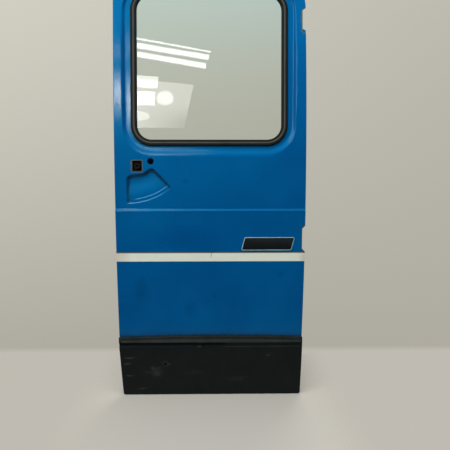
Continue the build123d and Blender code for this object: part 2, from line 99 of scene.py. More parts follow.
def add(tree: Tree, kind: str, inputs: dict | None = None, **settings) -> Node:
    """Adds one node with its settings, values and links.

    Args:
        tree: Tree that takes the node.
        kind: Blender's name for the kind of node.
        inputs: Value, socket or node for each input, by the input's name or number.
        settings: Attributes of the node itself.

    Returns:
        The new node.
    """
    node = tree.nodes.new(kind)
    for name, value in settings.items():
        setattr(node, name, value)
    for key, value in (inputs or {}).items():
        shown = [s for s in node.inputs if s.enabled]
        socket = node.inputs[key] if isinstance(key, int) else next(s for s in shown if s.name == key)
        if isinstance(value, Node):
            value = next(s for s in value.outputs if s.enabled)
        if isinstance(value, Socket):
            tree.links.new(value, socket)
        else:
            socket.default_value = value
    return node


def smooth_step(low: float, high: float, value: Plan) -> Plan:
    """Runs from zero to one between two values, level at both ends."""
    share = np.clip((value - low) / (high - low), 0.0, 1.0)
    return share * share * (3 - 2 * share)


def round_max(first: Plan, second: Plan, size: float) -> Plan:
    """Larger of two heights, with the edge between them rounded over a size."""
    blend = np.maximum(size - np.abs(first - second), 0.0) / size
    return np.maximum(first, second) + blend * blend * size / 4


def rolled_edge(inside: Plan, radius: float) -> Plan:
    """Drop of a surface that rolls over a radius at its edge."""
    fold = np.clip(radius - inside, 0, radius)
    return radius - np.sqrt(radius ** 2 - fold ** 2)


def fading(distance: Plan, reach: float, strength: float) -> Plan:
    """Strength that dies away with distance, to about a third of itself at a reach."""
    return np.exp(-distance / reach) * strength


def arc(centre: Point, radius: float, start: float, end: float, count: int) -> Plan:
    """Points of an arc in the front view.

    Args:
        centre: Middle of the arc.
        radius: Its radius.
        start: First angle in degrees.
        end: Last angle in degrees.
        count: Number of points.

    Returns:
        One row for each point.
    """
    angles = np.radians(np.linspace(start, end, count))
    return np.column_stack((centre[0] + radius * np.cos(angles), centre[1] + radius * np.sin(angles)))


def circle(centre: Point, radius: float, count: int) -> Plan:
    """Closed loop of points round a circle."""
    return arc(centre, radius, 0, 360 - 360 / count, count)


def run(start: Plan, end: Plan, spacing: float) -> Plan:
    """Evenly spaced points between two points, without the points themselves."""
    count = max(1, round(float(np.hypot(*(end - start))) / spacing))
    shares = np.arange(1, count)[:, None] / count
    return start + shares * (end - start)


def spaced(loop: Plan, spacing: float) -> Plan:
    """Closed loop with points added wherever two are far apart."""
    pairs = zip(loop, np.roll(loop, -1, 0))
    return np.vstack([row for here, after in pairs for row in (here[None], run(here, after, spacing))])


def rounded_box(x: Plan, z: Plan, low: Point, high: Point, corner: float) -> Plan:
    """Distance out of a rectangle with rounded corners, negative inside it."""
    across = np.maximum(low[0] + corner - x, x - high[0] + corner)
    along = np.maximum(low[1] + corner - z, z - high[1] + corner)
    outside = np.hypot(np.maximum(across, 0.0), np.maximum(along, 0.0))
    return outside + np.minimum(np.maximum(across, along), 0.0) - corner


def rounded_loop(low: Point, high: Point, corner: float, spacing: float) -> Plan:
    """Closed loop of points round a rectangle with rounded corners, counterclockwise."""
    turns = max(4, math.ceil(corner * math.pi / 2 / spacing))
    centres = ((high[0] - corner, low[1] + corner, -90), (high[0] - corner, high[1] - corner, 0),
               (low[0] + corner, high[1] - corner, 90), (low[0] + corner, low[1] + corner, 180))
    return spaced(np.vstack([arc((x, z), corner, turn, turn + 90, turns) for x, z, turn in centres]), spacing)


def rounded_corners(points: Plan, radius: float, count: int) -> Plan:
    """Polygon with each corner replaced by an arc.

    Args:
        points: Corners in order.
        radius: Radius of each arc.
        count: Points in each arc.

    Returns:
        Corners of the rounded polygon.
    """
    rows, straight = [], 0.2
    for before, here, after in zip(np.roll(points, 1, 0), points, np.roll(points, -1, 0)):
        to_before = (before - here) / np.hypot(*(before - here))
        to_after = (after - here) / np.hypot(*(after - here))
        half = math.acos(float(np.clip(to_before @ to_after, -1, 1))) / 2
        middle = to_before + to_after
        if np.hypot(*middle) < straight:
            rows.append(here[None])
            continue
        centre = here + middle / np.hypot(*middle) * radius / math.sin(half)
        first, last = (here + side * radius / math.tan(half) - centre for side in (to_before, to_after))
        start = math.atan2(first[1], first[0])
        turn = (math.atan2(last[1], last[0]) - start + math.pi) % (2 * math.pi) - math.pi
        rows.append(arc(tuple(centre), radius, math.degrees(start), math.degrees(start + turn), count))
    return np.vstack(rows)


def polygon_distance(x: Plan, z: Plan, corners: Plan) -> Plan:
    """Distance out of a polygon, negative inside it and no more than 20 mm outside it."""
    reach = 20 * MM
    low, high = corners.min(0) - reach, corners.max(0) + reach
    near = (x > low[0]) & (x < high[0]) & (z > low[1]) & (z < high[1])
    px, pz = x[near], z[near]
    best = np.full(px.shape, np.inf)
    inside = np.zeros(px.shape, bool)
    for (ax, az), (bx, bz) in zip(corners, np.roll(corners, -1, 0)):
        along = ((px - ax) * (bx - ax) + (pz - az) * (bz - az)) / ((bx - ax) ** 2 + (bz - az) ** 2)
        share = np.clip(along, 0, 1)
        best = np.minimum(best, np.hypot(px - ax - share * (bx - ax), pz - az - share * (bz - az)))
        if az != bz:
            inside ^= ((az > pz) != (bz > pz)) & (px < ax + (pz - az) / (bz - az) * (bx - ax))
    distance = np.full(x.shape, reach)
    distance[near] = np.where(inside, -best, np.minimum(best, reach))
    return distance


def offset_loop(corners: Plan, distance: float) -> Plan:
    """Closed counterclockwise loop moved outwards along its own normals."""
    along = np.roll(corners, -1, 0) - np.roll(corners, 1, 0)
    along /= np.hypot(along[:, 0], along[:, 1])[:, None]
    return corners + distance * np.column_stack((along[:, 1], -along[:, 0]))


def link(name: str, data: bpy.types.ID) -> Piece:
    """Links a mesh or curve to the scene as an object at the origin."""
    piece = bpy.data.objects.new(name, data)
    bpy.context.scene.collection.objects.link(piece)
    return piece


def place_mesh(name: str, points: Plan, faces: list, normals: Plan | None = None) -> Piece:
    """Links a new mesh object.

    Args:
        name: Name of the piece.
        points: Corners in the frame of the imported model, in metres.
        faces: Corner numbers of each face.
        normals: Normal of each face corner, in order, or none for plain smooth shading.

    Returns:
        The new object.
    """
    mesh = bpy.data.meshes.new(name)
    mesh.from_pydata([tuple(p) for p in points], [], [tuple(f) for f in faces])
    mesh.shade_smooth()
    if normals is not None:
        mesh.normals_split_custom_set([tuple(n) for n in normals])
    return link(name, mesh)


def close_up(piece: Piece, sharp: float) -> Piece:
    """Merges doubles, turns faces outwards and keeps edges over an angle in degrees sharp."""
    shape = bmesh.new()
    shape.from_mesh(piece.data)
    bmesh.ops.remove_doubles(shape, verts=shape.verts, dist=MERGE)
    bmesh.ops.recalc_face_normals(shape, faces=shape.faces)
    shape.to_mesh(piece.data)
    shape.free()
    piece.data.shade_smooth()
    piece.data.set_sharp_from_angle(angle=math.radians(sharp))
    return piece


def settle(piece: Piece, slot: Slot, finish: Material, *nodes: str) -> None:
    """Gives a finished piece its material and body, and hides the nodes that it stands for."""
    LEAF.tuck_in(piece.data)
    piece.data.materials.clear()
    piece.data.materials.append(finish)
    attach(piece, BODY)
    if nodes:
        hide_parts(*nodes)
    LOG.info("%s: %d faces of %s", piece.name, len(piece.data.polygons), finish.name)


def dress(finish: Material, *nodes: str) -> None:
    """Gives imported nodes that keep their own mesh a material."""
    for name in nodes:
        mesh = frame["nodes"][name].data
        mesh.materials.clear()
        mesh.materials.append(finish)
        LOG.info("%s: packed node of %s", name, finish.name)


def write_attribute(piece: Piece, name: str, values: Plan) -> None:
    """Stores one number on each corner of a piece for its material."""
    attribute = piece.data.attributes.new(name, "FLOAT", "POINT")
    attribute.data.foreach_set("value", values.astype(np.float32))


# Shapes that pieces share


@dataclass(frozen=True)
class Leaf:
    """Shape that all pieces share, in metres from the closing edge and the skin's lower edge."""

    width: float = 730 * MM
    corner: float = 16 * MM
    hinge_top_corner: float = 140 * MM
    crown_radius: float = 7000 * MM
    crown_apex: float = 900 * MM
    bow_radius: float = 45000 * MM
    bow_apex: float = 830 * MM
    seat_depth: float = 27.45 * MM
    crease_step: float = 3 * MM
    crease_rise: float = 11 * MM
    crease_z: float = 743 * MM
    cladding_top: float = 235 * MM
    cladding_arch: float = 6.5 * MM
    cladding_overhang: float = 2 * MM
    tuck: float = 11 * MM
    tuck_reach: float = 300 * MM
    sharpest: float = 0.05 * MM
    corner_points: int = 8
    head_points: int = 24

    def tuck_in(self, mesh: bpy.types.Mesh) -> None:
        """Draws the lower closing corner of a piece in below the cladding's upper edge."""
        points = np.empty(len(mesh.vertices) * 3, np.float32)
        mesh.vertices.foreach_get("co", points)
        x, z = points[0::3] - self.origin.x, points[2::3] - self.origin.z
        share = np.clip(1 - z / self.cladding_top, 0, 1) * np.clip(1 - x / self.tuck_reach, 0, 1)
        points[0::3] += self.tuck * share
        mesh.vertices.foreach_set("co", points)
        mesh.update()

    def cladding_edge(self, x: Plan) -> Plan:
        """Height of the cladding's arched upper edge."""
        half = self.width / 2
        aside = (x - half) / (half + self.cladding_overhang)
        return self.cladding_top + self.cladding_arch * (1 - aside ** 2)

    @property
    def height(self) -> float:
        """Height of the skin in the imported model."""
        low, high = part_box("outer_skin")
        return high.z - low.z

    @property
    def origin(self) -> Vector:
        """Place of the skin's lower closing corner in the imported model."""
        low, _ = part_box("outer_skin")
        return Vector((low.x, -float(self.crown(self.seat_depth, -low.z)), low.z))

    def crown(self, depth: Plan, height: Plan) -> Plan:
        """Y of the surface at a depth behind the crowned outer face."""
        return self.crown_radius - np.sqrt((self.crown_radius - depth) ** 2 - (height - self.crown_apex) ** 2)

    def panel(self, depth: Plan, z: Plan) -> Plan:
        """Y of a layer behind the panel, whose upper part lies a step deeper."""
        half = self.crease_rise / 2
        return self.crown(depth + self.crease_step * smooth_step(-half, half, z - self.crease_z), z)

    def to_model(self, x: Plan, y: Plan, z: Plan) -> Plan:
        """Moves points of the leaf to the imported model's frame."""
        return np.column_stack((x, y, z)) + np.array(self.origin)

    def bow_centre(self) -> Point:
        """Middle of the large circle that bows the hinge edge."""
        return self.width - self.bow_radius, self.bow_apex

    def hinge_corner(self, radius: float, height: float) -> Point:
        """Middle of a corner arc that touches the bowed hinge edge."""
        middle, apex = self.bow_centre()
        return middle + math.sqrt((self.bow_radius - radius) ** 2 - (height - apex) ** 2), height

    def hinge_edge(self, height: Plan) -> Plan:
        """X of the bowed hinge edge at a height."""
        middle, apex = self.bow_centre()
        return middle + np.sqrt(self.bow_radius ** 2 - (height - apex) ** 2)

    def inside(self, x: Plan, z: Plan) -> Plan:
        """Distance in from the outline, negative outside it."""
        low, high, big = self.corner, self.height - self.corner, self.hinge_top_corner
        distance = np.minimum.reduce([x, z, self.height - z, self.hinge_edge(z) - x])
        foot = self.hinge_corner(low, low)
        head = self.hinge_corner(big, self.height - big)
        for (cx, cz), radius, right, up in (((low, low), low, -1, -1), ((low, high), low, -1, 1),
                                            (foot, low, 1, -1), (head, big, 1, 1)):
            within = ((x - cx) * right > 0) & ((z - cz) * up > 0)
            distance = np.where(within, radius - np.hypot(x - cx, z - cz), distance)
        return distance

    def outline(self, inset: float, spacing: float) -> list[Plan]:
        """Sections of the outline, counterclockwise from the lower closing corner.

        Args:
            inset: Distance that the outline is drawn in.
            spacing: Distance between points on the straight sections.

        Returns:
            The foot section, the hinge edge, the head and the closing edge.
        """
        small, big, middle = self.corner, self.hinge_top_corner, self.bow_centre()
        foot = self.hinge_corner(small, small)
        head = self.hinge_corner(big, self.height - big)
        low, high = (math.degrees(math.atan2(c[1] - middle[1], c[0] - middle[0])) for c in (foot, head))
        turn, edge, count = max(small - inset, self.sharpest), max(small, inset), self.corner_points
        corners = [arc((edge, edge), turn, 180, 270, count),
                   arc((foot[0] + small - edge, edge), turn, -90, low, count),
                   arc(head, big - inset, high, 90, self.head_points),
                   arc((edge, self.height - edge), turn, 90, 180, count)]
        bottom = run(np.array((small, inset)), np.array((foot[0], inset)), spacing)
        steps = round((head[1] - foot[1]) / spacing)
        hinge = arc(middle, self.bow_radius - inset, low, high, steps)
        top = run(np.array((head[0], self.height - inset)), np.array((small, self.height - inset)), spacing)
        closing = run(np.array((inset, self.height - small)), np.array((inset, small)), spacing)
        return [np.vstack((corners[0], bottom, corners[1][:-1])), hinge,
                np.vstack((corners[2][1:], top, corners[3])), closing]

    def path(self, inset: float, spacing: float, begin: float, end: float) -> Plan:
        """Outline drawn in by an inset, from one height of the hinge edge on to another.

        Args:
            inset: Distance that the outline is drawn in.
            spacing: Distance between points.
            begin: Height at which the path starts.
            end: Height at which it ends, below the start where it goes round the whole leaf.

        Returns:
            Points of the path.
        """
        foot, hinge, head, closing = self.outline(inset, spacing)
        if begin < end:
            return hinge[(hinge[:, 1] > begin) & (hinge[:, 1] < end)]
        return np.vstack((hinge[hinge[:, 1] > begin], head, closing, foot, hinge[hinge[:, 1] < end]))


LEAF = Leaf()


@dataclass(frozen=True)
class Window:
    """Flat window that leans with the crown, in its own plane of across, up and depth."""

    latch_margin: float = 88 * MM
    hinge_margin: float = 96 * MM
    head_margin: float = 95 * MM
    sight_height: float = 540 * MM
    sight_corner: float = 55 * MM
    seal_width: float = 25 * MM
    seal_lap: float = 9 * MM
    recess_depth: float = 12 * MM
    recess_reach: float = 24 * MM
    rim_side: float = 21 * MM
    rim_foot: float = 15 * MM
    slope_side: float = 0.85
    slope_head: float = 2.0
    slope_foot: float = 4.0
    slope_corner: float = 60 * MM
    least_share: float = -0.5
    most_share: float = 1.6
    share_rounds: int = 22
    above_crease: float = 100 * MM

    @property
    def sight_width(self) -> float:
        """Width of the glass that shows."""
        return LEAF.width - self.latch_margin - self.hinge_margin

    @property
    def centre(self) -> Point:
        """Middle of the glass in the front view."""
        return (self.latch_margin + self.sight_width / 2,
                LEAF.height - self.head_margin - self.sight_height / 2)

    @property
    def lean(self) -> float:
        """Angle between the window's plane and the upright, in radians."""
        return math.asin((self.centre[1] - LEAF.crown_apex) / LEAF.crown_radius)

    def upwards(self, z: Plan) -> Plan:
        """Height above the window's middle, along its own plane."""
        return (z - self.centre[1]) / math.cos(self.lean)

    def layer(self, depth: Plan, z: Plan) -> Plan:
        """Y of a flat layer at a depth behind the panel."""
        start = LEAF.crown(LEAF.crease_step, self.centre[1])
        return start + self.upwards(z) * math.sin(self.lean) + depth * math.cos(self.lean)

    def sight_distance(self, x: Plan, z: Plan) -> Plan:
        """Distance out of the glass that shows."""
        half = (self.sight_width / 2, self.sight_height / 2)
        across = x - self.centre[0]
        return rounded_box(across, self.upwards(z), (-half[0], -half[1]), half, self.sight_corner)

    def sight_loop(self, grow: float, spacing: float) -> Plan:
        """Loop of front view points round the glass, grown evenly."""
        half = (self.sight_width / 2 + grow, self.sight_height / 2 + grow)
        loop = rounded_loop((-half[0], -half[1]), half, self.sight_corner + grow, spacing)
        return loop * (1, math.cos(self.lean)) + self.centre

    def slope_box(self, share: Plan) -> tuple[tuple, tuple, Plan]:
        """Lower corner, upper corner and corner radius of the recess at a share of its reach."""
        rise = share * self.recess_reach
        half = self.sight_width / 2 + self.seal_width + self.rim_side + rise * self.slope_side
        tall = self.sight_height / 2 + self.seal_width
        low = -(tall + self.rim_foot + rise * self.slope_foot)
        high = tall + self.rim_side + rise * self.slope_head
        corner = self.sight_corner + self.seal_width + self.rim_side + share * self.slope_corner
        return (-half, low), (half, high), corner

    def slope_share(self, x: Plan, z: Plan) -> Plan:
        """Share of the recess's reach at which its slope passes through each point."""
        share = np.full(x.shape, self.most_share)
        near = z > LEAF.crease_z + self.above_crease
        px, pz = x[near] - self.centre[0], self.upwards(z[near])
        low, high = np.full(px.shape, self.least_share), np.full(px.shape, self.most_share)
        for _ in range(self.share_rounds):
            middle = (low + high) / 2
            outside = rounded_box(px, pz, *self.slope_box(middle)) > 0
            low, high = np.where(outside, middle, low), np.where(outside, high, middle)
        share[near] = (low + high) / 2
        return share

    def slope_loop(self, share: float, spacing: float) -> Plan:
        """Loop of front view points at one share of the recess's reach."""
        low, high, corner = self.slope_box(share)
        return rounded_loop(low, high, corner, spacing) * (1, math.cos(self.lean)) + self.centre

    def matrix(self) -> Matrix:
        """Place of the window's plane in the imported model, z pointing out of the van."""
        x, z = self.centre
        spot = LEAF.origin + Vector((x, float(LEAF.crown(LEAF.crease_step, z)), z))
        return Matrix.Translation(spot) @ Matrix.Rotation(math.pi / 2 - self.lean, 4, "X")


WINDOW = Window()


def pressed_sheet(name: str, points: Plan, loops: list[Plan], keep: Surface, front: Surface,
                  back: Surface) -> tuple[Piece, Plan, Plan]:
    """Meshes a pressed sheet from its front view, with true normals on its faces.

    Args:
        name: Name of the piece.
        points: Loose points in the front view.
        loops: Closed chains of points that the faces follow.
        keep: Distance into the sheet, above zero where there is material.
        front: Y of the outer face at each point of the front view.
        back: Y of the inner face.

    Returns:
        The new object and the x and z of its corners in the front view.
    """
    every = np.vstack([points, *loops])
    tolerance, step = 1e-7, 0.15 * MM
    edges, start = [], len(points)
    for loop in loops:
        edges += [(start + i, start + (i + 1) % len(loop)) for i in range(len(loop))]
        start += len(loop)
    found = delaunay_2d_cdt([Vector(p) for p in every], edges, [], 0, tolerance)
    plan = np.array([tuple(p) for p in found[0]])
    faces = np.array([f for f in found[2] if len(f) == 3])
    middle = plan[faces].mean(1)
    faces = faces[keep(middle[:, 0], middle[:, 1]) > 0]
    used, faces = np.unique(faces, return_inverse=True)
    faces = faces.reshape(-1, 3)
    corner = plan[used][faces]
    across, along = corner[:, 1] - corner[:, 0], corner[:, 2] - corner[:, 0]
    turned = across[:, 0] * along[:, 1] - across[:, 1] * along[:, 0] < 0
    faces[turned] = faces[turned][:, ::-1]
    x, z = plan[used].T
    normal = np.column_stack(((front(x + step, z) - front(x - step, z)) / (2 * step), -np.ones(len(x)),
                              (front(x, z + step) - front(x, z - step)) / (2 * step)))
    normal /= np.linalg.norm(normal, axis=1)[:, None]
    count = len(x)
    paired = {tuple(side) for side in np.vstack((faces[:, :2], faces[:, 1:], faces[:, [2, 0]])).tolist()}
    rim = sorted((b, a, a + count, b + count) for a, b in paired if (b, a) not in paired)
    corners = np.vstack((LEAF.to_model(x, front(x, z), z), LEAF.to_model(x, back(x, z), z)))
    quads = corners[np.array(rim)]
    wall = np.cross(quads[:, 1] - quads[:, 0], quads[:, 3] - quads[:, 0])
    wall /= np.maximum(np.linalg.norm(wall, axis=1), 1e-12)[:, None]
    normals = np.vstack((normal[faces].reshape(-1, 3), -normal[faces[:, ::-1]].reshape(-1, 3),
                         np.repeat(wall, 4, 0)))
    every_face = faces.tolist() + (faces[:, ::-1] + count).tolist() + rim
    return place_mesh(name, corners, every_face, normals), np.tile(x, 2), np.tile(z, 2)


# Geometry trees


class GeometryTree:
    """Tree of geometry nodes with named inputs, run once to give a plain mesh."""

    def __init__(self, name: str, **inputs: str) -> None:
        """Starts a tree.

        Args:
            name: Name of the tree.
            inputs: Socket kind of each named input, after the incoming geometry.
        """
        self.tree = bpy.data.node_groups.new(name, "GeometryNodeTree")
        sockets = self.tree.interface
        sockets.new_socket("Geometry", in_out="OUTPUT", socket_type="NodeSocketGeometry")
        sockets.new_socket("Geometry", in_out="INPUT", socket_type="NodeSocketGeometry")
        for label, kind in inputs.items():
            sockets.new_socket(label, in_out="INPUT", socket_type=f"NodeSocket{kind}")
        self.given = add(self.tree, "NodeGroupInput").outputs

    def finish(self, geometry: Node) -> None:
        """Ends the tree with realised, dressed geometry."""
        whole = add(self.tree, "GeometryNodeRealizeInstances", {"Geometry": geometry})
        dressed = add(self.tree, "GeometryNodeSetMaterial",
                      {"Geometry": whole, "Material": self.given["Material"]})
        add(self.tree, "NodeGroupOutput", {"Geometry": dressed})

    def grow(self, name: str, base: bpy.types.Mesh, **values) -> Piece:
        """Runs the tree on a base mesh.

        Args:
            name: Name of the piece.
            base: Mesh that the tree takes in.
            values: Value of each named input.

        Returns:
            New object that holds the result as a plain mesh.
        """
        host = link(name + "_base", base)
        modifier = host.modifiers.new("grow", "NODES")
        modifier.node_group = self.tree
        for item in self.tree.interface.items_tree:
            if item.in_out == "INPUT" and item.name in values:
                modifier[item.identifier] = values[item.name]
        graph = bpy.context.evaluated_depsgraph_get()
        mesh = bpy.data.meshes.new_from_object(host.evaluated_get(graph))
        host.modifiers.clear()
        bpy.data.objects.remove(host)
        mesh.name = name
        return link(name, mesh)


class SweptProfile(GeometryTree):
    """Profile carried along a rectangle with rounded corners, as a rubber strip is laid."""

    corner_steps = 20
    sharp_angle = 38.0

    def __init__(self) -> None:
        """Builds the tree."""
        super().__init__("swept_profile", Width="Float", Height="Float", Corner="Float", Steps="Int",
                         Profile="Object", Material="Material")
        tree, given = self.tree, self.given
        path = add(tree, "GeometryNodeCurvePrimitiveQuadrilateral",
                   {"Width": given["Width"], "Height": given["Height"]})
        path = add(tree, "GeometryNodeFilletCurve",
                   {"Curve": path, "Count": given["Steps"], "Radius": given["Corner"]}, mode="POLY")
        path = add(tree, "GeometryNodeSetCurveNormal", {"Curve": path}, mode="Z_UP")
        profile = add(tree, "GeometryNodeObjectInfo", {"Object": given["Profile"]}).outputs["Geometry"]
        self.finish(add(tree, "GeometryNodeCurveToMesh", {"Curve": path, "Profile Curve": profile}))

    def lay(self, name: str, outline: tuple[Point, ...], finish: Material) -> Piece:
        """Lays a profile round the window's sight edge.

        Args:
            name: Name of the piece.
            outline: Closed profile, in millimetres out from the sight edge and behind the panel.
            finish: Material of the piece.

        Returns:
            The piece in its place.
        """
        curve = bpy.data.curves.new(name + "_outline", "CURVE")
        spline = curve.splines.new("POLY")
        spline.points.add(len(outline) - 1)
        for point, (across, depth) in zip(spline.points, outline):
            point.co = (across * MM, depth * MM, 0, 1)
        spline.use_cyclic_u = True
        profile = link(name + "_outline", curve)
        piece = self.grow(name, bpy.data.meshes.new(name), Width=WINDOW.sight_width,
                          Height=WINDOW.sight_height, Corner=WINDOW.sight_corner, Steps=self.corner_steps,
                          Profile=profile, Material=finish)
        bpy.data.objects.remove(profile)
        piece.data.transform(WINDOW.matrix())
        return close_up(piece, self.sharp_angle)


class FastenerRow(GeometryTree):
    """Row of equal heads set along a path, each turned by chance about its own axis."""

    sharp_angle = 35.0

    def __init__(self) -> None:
        """Builds the tree."""
        super().__init__("fastener_row", Spacing="Float", Facing="Vector", Head="Object", Seed="Int",
                         Material="Material")
        tree, given = self.tree, self.given
        path = add(tree, "GeometryNodeMeshToCurve", {"Mesh": given["Geometry"]})
        places = add(tree, "GeometryNodeResampleCurve", {"Curve": path, "Length": given["Spacing"]},
                     mode="LENGTH")
        spin = add(tree, "FunctionNodeRandomValue", {"Min": 0.0, "Max": 2 * math.pi, "Seed": given["Seed"]})
        spun = add(tree, "FunctionNodeAxisAngleToRotation", {"Axis": (0, 0, 1), "Angle": spin})
        facing = add(tree, "FunctionNodeAlignRotationToVector", {"Vector": given["Facing"]}, axis="Z")
        turn = add(tree, "FunctionNodeRotateRotation", {"Rotation": facing, "Rotate By": spun},
                   rotation_space="LOCAL")
        head = add(tree, "GeometryNodeObjectInfo", {"Object": given["Head"], "As Instance": True})
        self.finish(add(tree, "GeometryNodeInstanceOnPoints",
                        {"Points": places, "Instance": head.outputs["Geometry"], "Rotation": turn}))

    def set_along(self, name: str, path: Plan, spacing: float, facing: Triple,
                  head: Piece, finish: Material) -> Piece:
        """Sets heads along an open path.

        Args:
            name: Name of the row.
            path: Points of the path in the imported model's frame.
            spacing: Distance between heads.
            facing: Direction in which the heads point.
            head: One head, standing on the origin along z.
            finish: Material of the row.

        Returns:
            The row as one piece.
        """
        base = bpy.data.meshes.new(name)
        base.from_pydata([tuple(p) for p in path], [(i, i + 1) for i in range(len(path) - 1)], [])
        row = self.grow(name, base, Spacing=spacing, Facing=facing, Head=head, Seed=len(name),
                        Material=finish)
        return close_up(row, self.sharp_angle)


def turned_head(name: str, profile: tuple[Point, ...], sides: int) -> Piece:
    """Closed head turned about z.

    Args:
        name: Name of the head.
        profile: Radius and height of each ring in millimetres, from the foot to the top.
        sides: Number of sides.

    Returns:
        The head, standing on the origin.
    """
    angles = [2 * math.pi * i / sides for i in range(sides)]
    points = [(r * MM * math.cos(a), r * MM * math.sin(a), h * MM) for r, h in profile for a in angles]
    faces = [tuple(range(sides))[::-1], tuple(range(len(points) - sides, len(points)))]
    for base in range(0, len(points) - sides, sides):
        faces += [(base + i, base + (i + 1) % sides, base + sides + (i + 1) % sides, base + sides + i)
                  for i in range(sides)]
    return place_mesh(name, np.array(points), faces)


# Finishes


@dataclass(frozen=True)
class Finish:
    """Finish of a surface, as a material made of nodes."""

    name: str

    def build(self) -> Material:
        """Makes the material.

        Returns:
            The new material with its nodes.
        """
        material = bpy.data.materials.new(self.name)
        material.use_nodes = True
        tree = material.node_tree
        tree.nodes.clear()
        shader = self.shade(tree, add(tree, "ShaderNodeTexCoord").outputs["Object"])
        add(tree, "ShaderNodeOutputMaterial", {"Surface": shader})
        return material

    def shade(self, tree: Tree, place: Socket) -> Node:
        """Adds the nodes of this finish.

        Args:
            tree: The material's tree.
            place: Object coordinates.

        Returns:
            The shader at the end of the nodes.
        """
        raise NotImplementedError


@dataclass(frozen=True)
class Mark:
    """Single blemish on a face, in millimetres of the leaf's front view."""

    x: float
    z: float
    size: float
    colour: str
    strength: float = 1.0
    stretch: float = 1.0
    fray: float = 1.6
    outer: float = 1.7
    inner: float = 0.9

    def cover(self, tree: Tree, place: Socket, ragged: Node, under: Node) -> Node:
        """Lays the blemish over a colour.

        Args:
            tree: The material's tree.
            place: Object coordinates.
            ragged: Noise that frays its outline.
            under: Colour that it lies on.

        Returns:
            The covered colour.
        """
        spot = LEAF.origin + Vector((self.x, 0, self.z)) * MM
        size = self.size * MM
        aside = add(tree, "ShaderNodeVectorMath", {0: place, 1: tuple(spot)}, operation="SUBTRACT")
        flat = add(tree, "ShaderNodeVectorMath", {0: aside, 1: (1 / self.stretch, 0, 1)},
                   operation="MULTIPLY")
        away = add(tree, "ShaderNodeVectorMath", {0: flat}, operation="LENGTH").outputs["Value"]
        frayed = add(tree, "ShaderNodeMath", {0: ragged, 1: size * self.fray, 2: away},
                     operation="MULTIPLY_ADD")
        mask = add(tree, "ShaderNodeMapRange",
                   {"Value": frayed, "From Min": size * self.outer, "From Max": size * self.inner,
                    "To Max": self.strength}, interpolation_type="SMOOTHSTEP")
        return add(tree, "ShaderNodeMix", {"Factor": mask, "A": under, "B": linear(self.colour)},
                   data_type="RGBA")


@dataclass(frozen=True)
class BodyEnamel(Finish):
    """Sprayed enamel on pressed steel: a deep even blue under a clear gloss, with dirt and painted shade in
    its corners.
    """

    colour: str = "#004680"
    faded: str = "#005590"
    primer: str = "#5D5E5A"
    rust: str = "#4A2E1E"
    dirt_and_shade: str = "#16262C"
    dust: str = "#6E7370"
    dust_share: float = 0.2
    gloss: float = 0.2
    sheen: float = 0.45
    sheen_tint: str = "#00C3E1"
    marks: tuple[Mark, ...] = ()

    def shade(self, tree: Tree, place: Socket) -> Node:
        """Adds fading, dirt mixed with painted shade, chipped edges, single blemishes and a slight ripple."""
        broad = add(tree, "ShaderNodeTexNoise", {"Vector": place, "Scale": 1 / (220 * MM), "Detail": 3.0})
        cloudy = add(tree, "ShaderNodeMapRange", {"Value": broad, "From Min": 0.2, "From Max": 0.8})
        tone = add(tree, "ShaderNodeMix",
                   {"Factor": cloudy, "A": linear(self.colour), "B": linear(self.faded)}, data_type="RGBA")
        # Road dirt clings in spots of about a centimetre; through these spots the paint also takes painted
        # shade along the seal, below the swage line, in the pocket and above the cladding.
        speck = add(tree, "ShaderNodeTexNoise", {"Vector": place, "Scale": 1 / (14 * MM), "Detail": 5.0})
        grime = add(tree, "ShaderNodeAttribute", attribute_name="grime").outputs["Fac"]
        darkened = add(tree, "ShaderNodeMath", {0: grime, 1: speck}, operation="MULTIPLY")
        tone = add(tree, "ShaderNodeMix", {"Factor": darkened, "A": tone, "B": linear(self.dirt_and_shade)},
                   data_type="RGBA")
        # Dust settles on what faces up.
        normal = add(tree, "ShaderNodeNewGeometry").outputs["Normal"]
        upward = add(tree, "ShaderNodeSeparateXYZ", {"Vector": normal}).outputs["Z"]
        settled = add(tree, "ShaderNodeMapRange",
                      {"Value": upward, "From Min": 0.15, "To Max": self.dust_share})
        settled = add(tree, "ShaderNodeMath", {0: settled, 1: speck}, operation="MULTIPLY")
        tone = add(tree, "ShaderNodeMix", {"Factor": settled, "A": tone, "B": linear(self.dust)},
                   data_type="RGBA")
        # Chips at raw edges are a few millimetres wide and show primer over rust.
        ragged = add(tree, "ShaderNodeTexNoise", {"Vector": place, "Scale": 1 / (6 * MM), "Detail": 6.0})
        wear = add(tree, "ShaderNodeAttribute", attribute_name="wear").outputs["Fac"]
        worn = add(tree, "ShaderNodeMath", {0: wear, 1: ragged}, operation="ADD")
        chipped = add(tree, "ShaderNodeMapRange", {"Value": worn, "From Min": 1.12, "From Max": 1.22},
                      interpolation_type="SMOOTHSTEP")
        bare = add(tree, "ShaderNodeMix", {"Factor": speck, "A": linear(self.rust), "B": linear(self.primer)},
                   data_type="RGBA")
        tone = add(tree, "ShaderNodeMix", {"Factor": chipped, "A": tone, "B": bare}, data_type="RGBA")
        for mark in self.marks:
            tone = mark.cover(tree, place, ragged, tone)
        rough = add(tree, "ShaderNodeMapRange", {"Value": speck, "To Min": 0.35, "To Max": 0.5})
        # Age leaves a ripple of a hand's width in the gloss.
        ripple = add(tree, "ShaderNodeTexNoise", {"Vector": place, "Scale": 1 / (90 * MM), "Detail": 2.0})
        bump = add(tree, "ShaderNodeBump", {"Height": ripple, "Strength": 0.45, "Distance": 3 * MM})
        return add(tree, "ShaderNodeBsdfPrincipled",
                   {"Base Color": tone, "Roughness": rough, "Normal": bump, "Specular IOR Level": self.sheen,
                    "Specular Tint": linear(self.sheen_tint), "Coat Weight": self.gloss,
                    "Coat Roughness": 0.1})


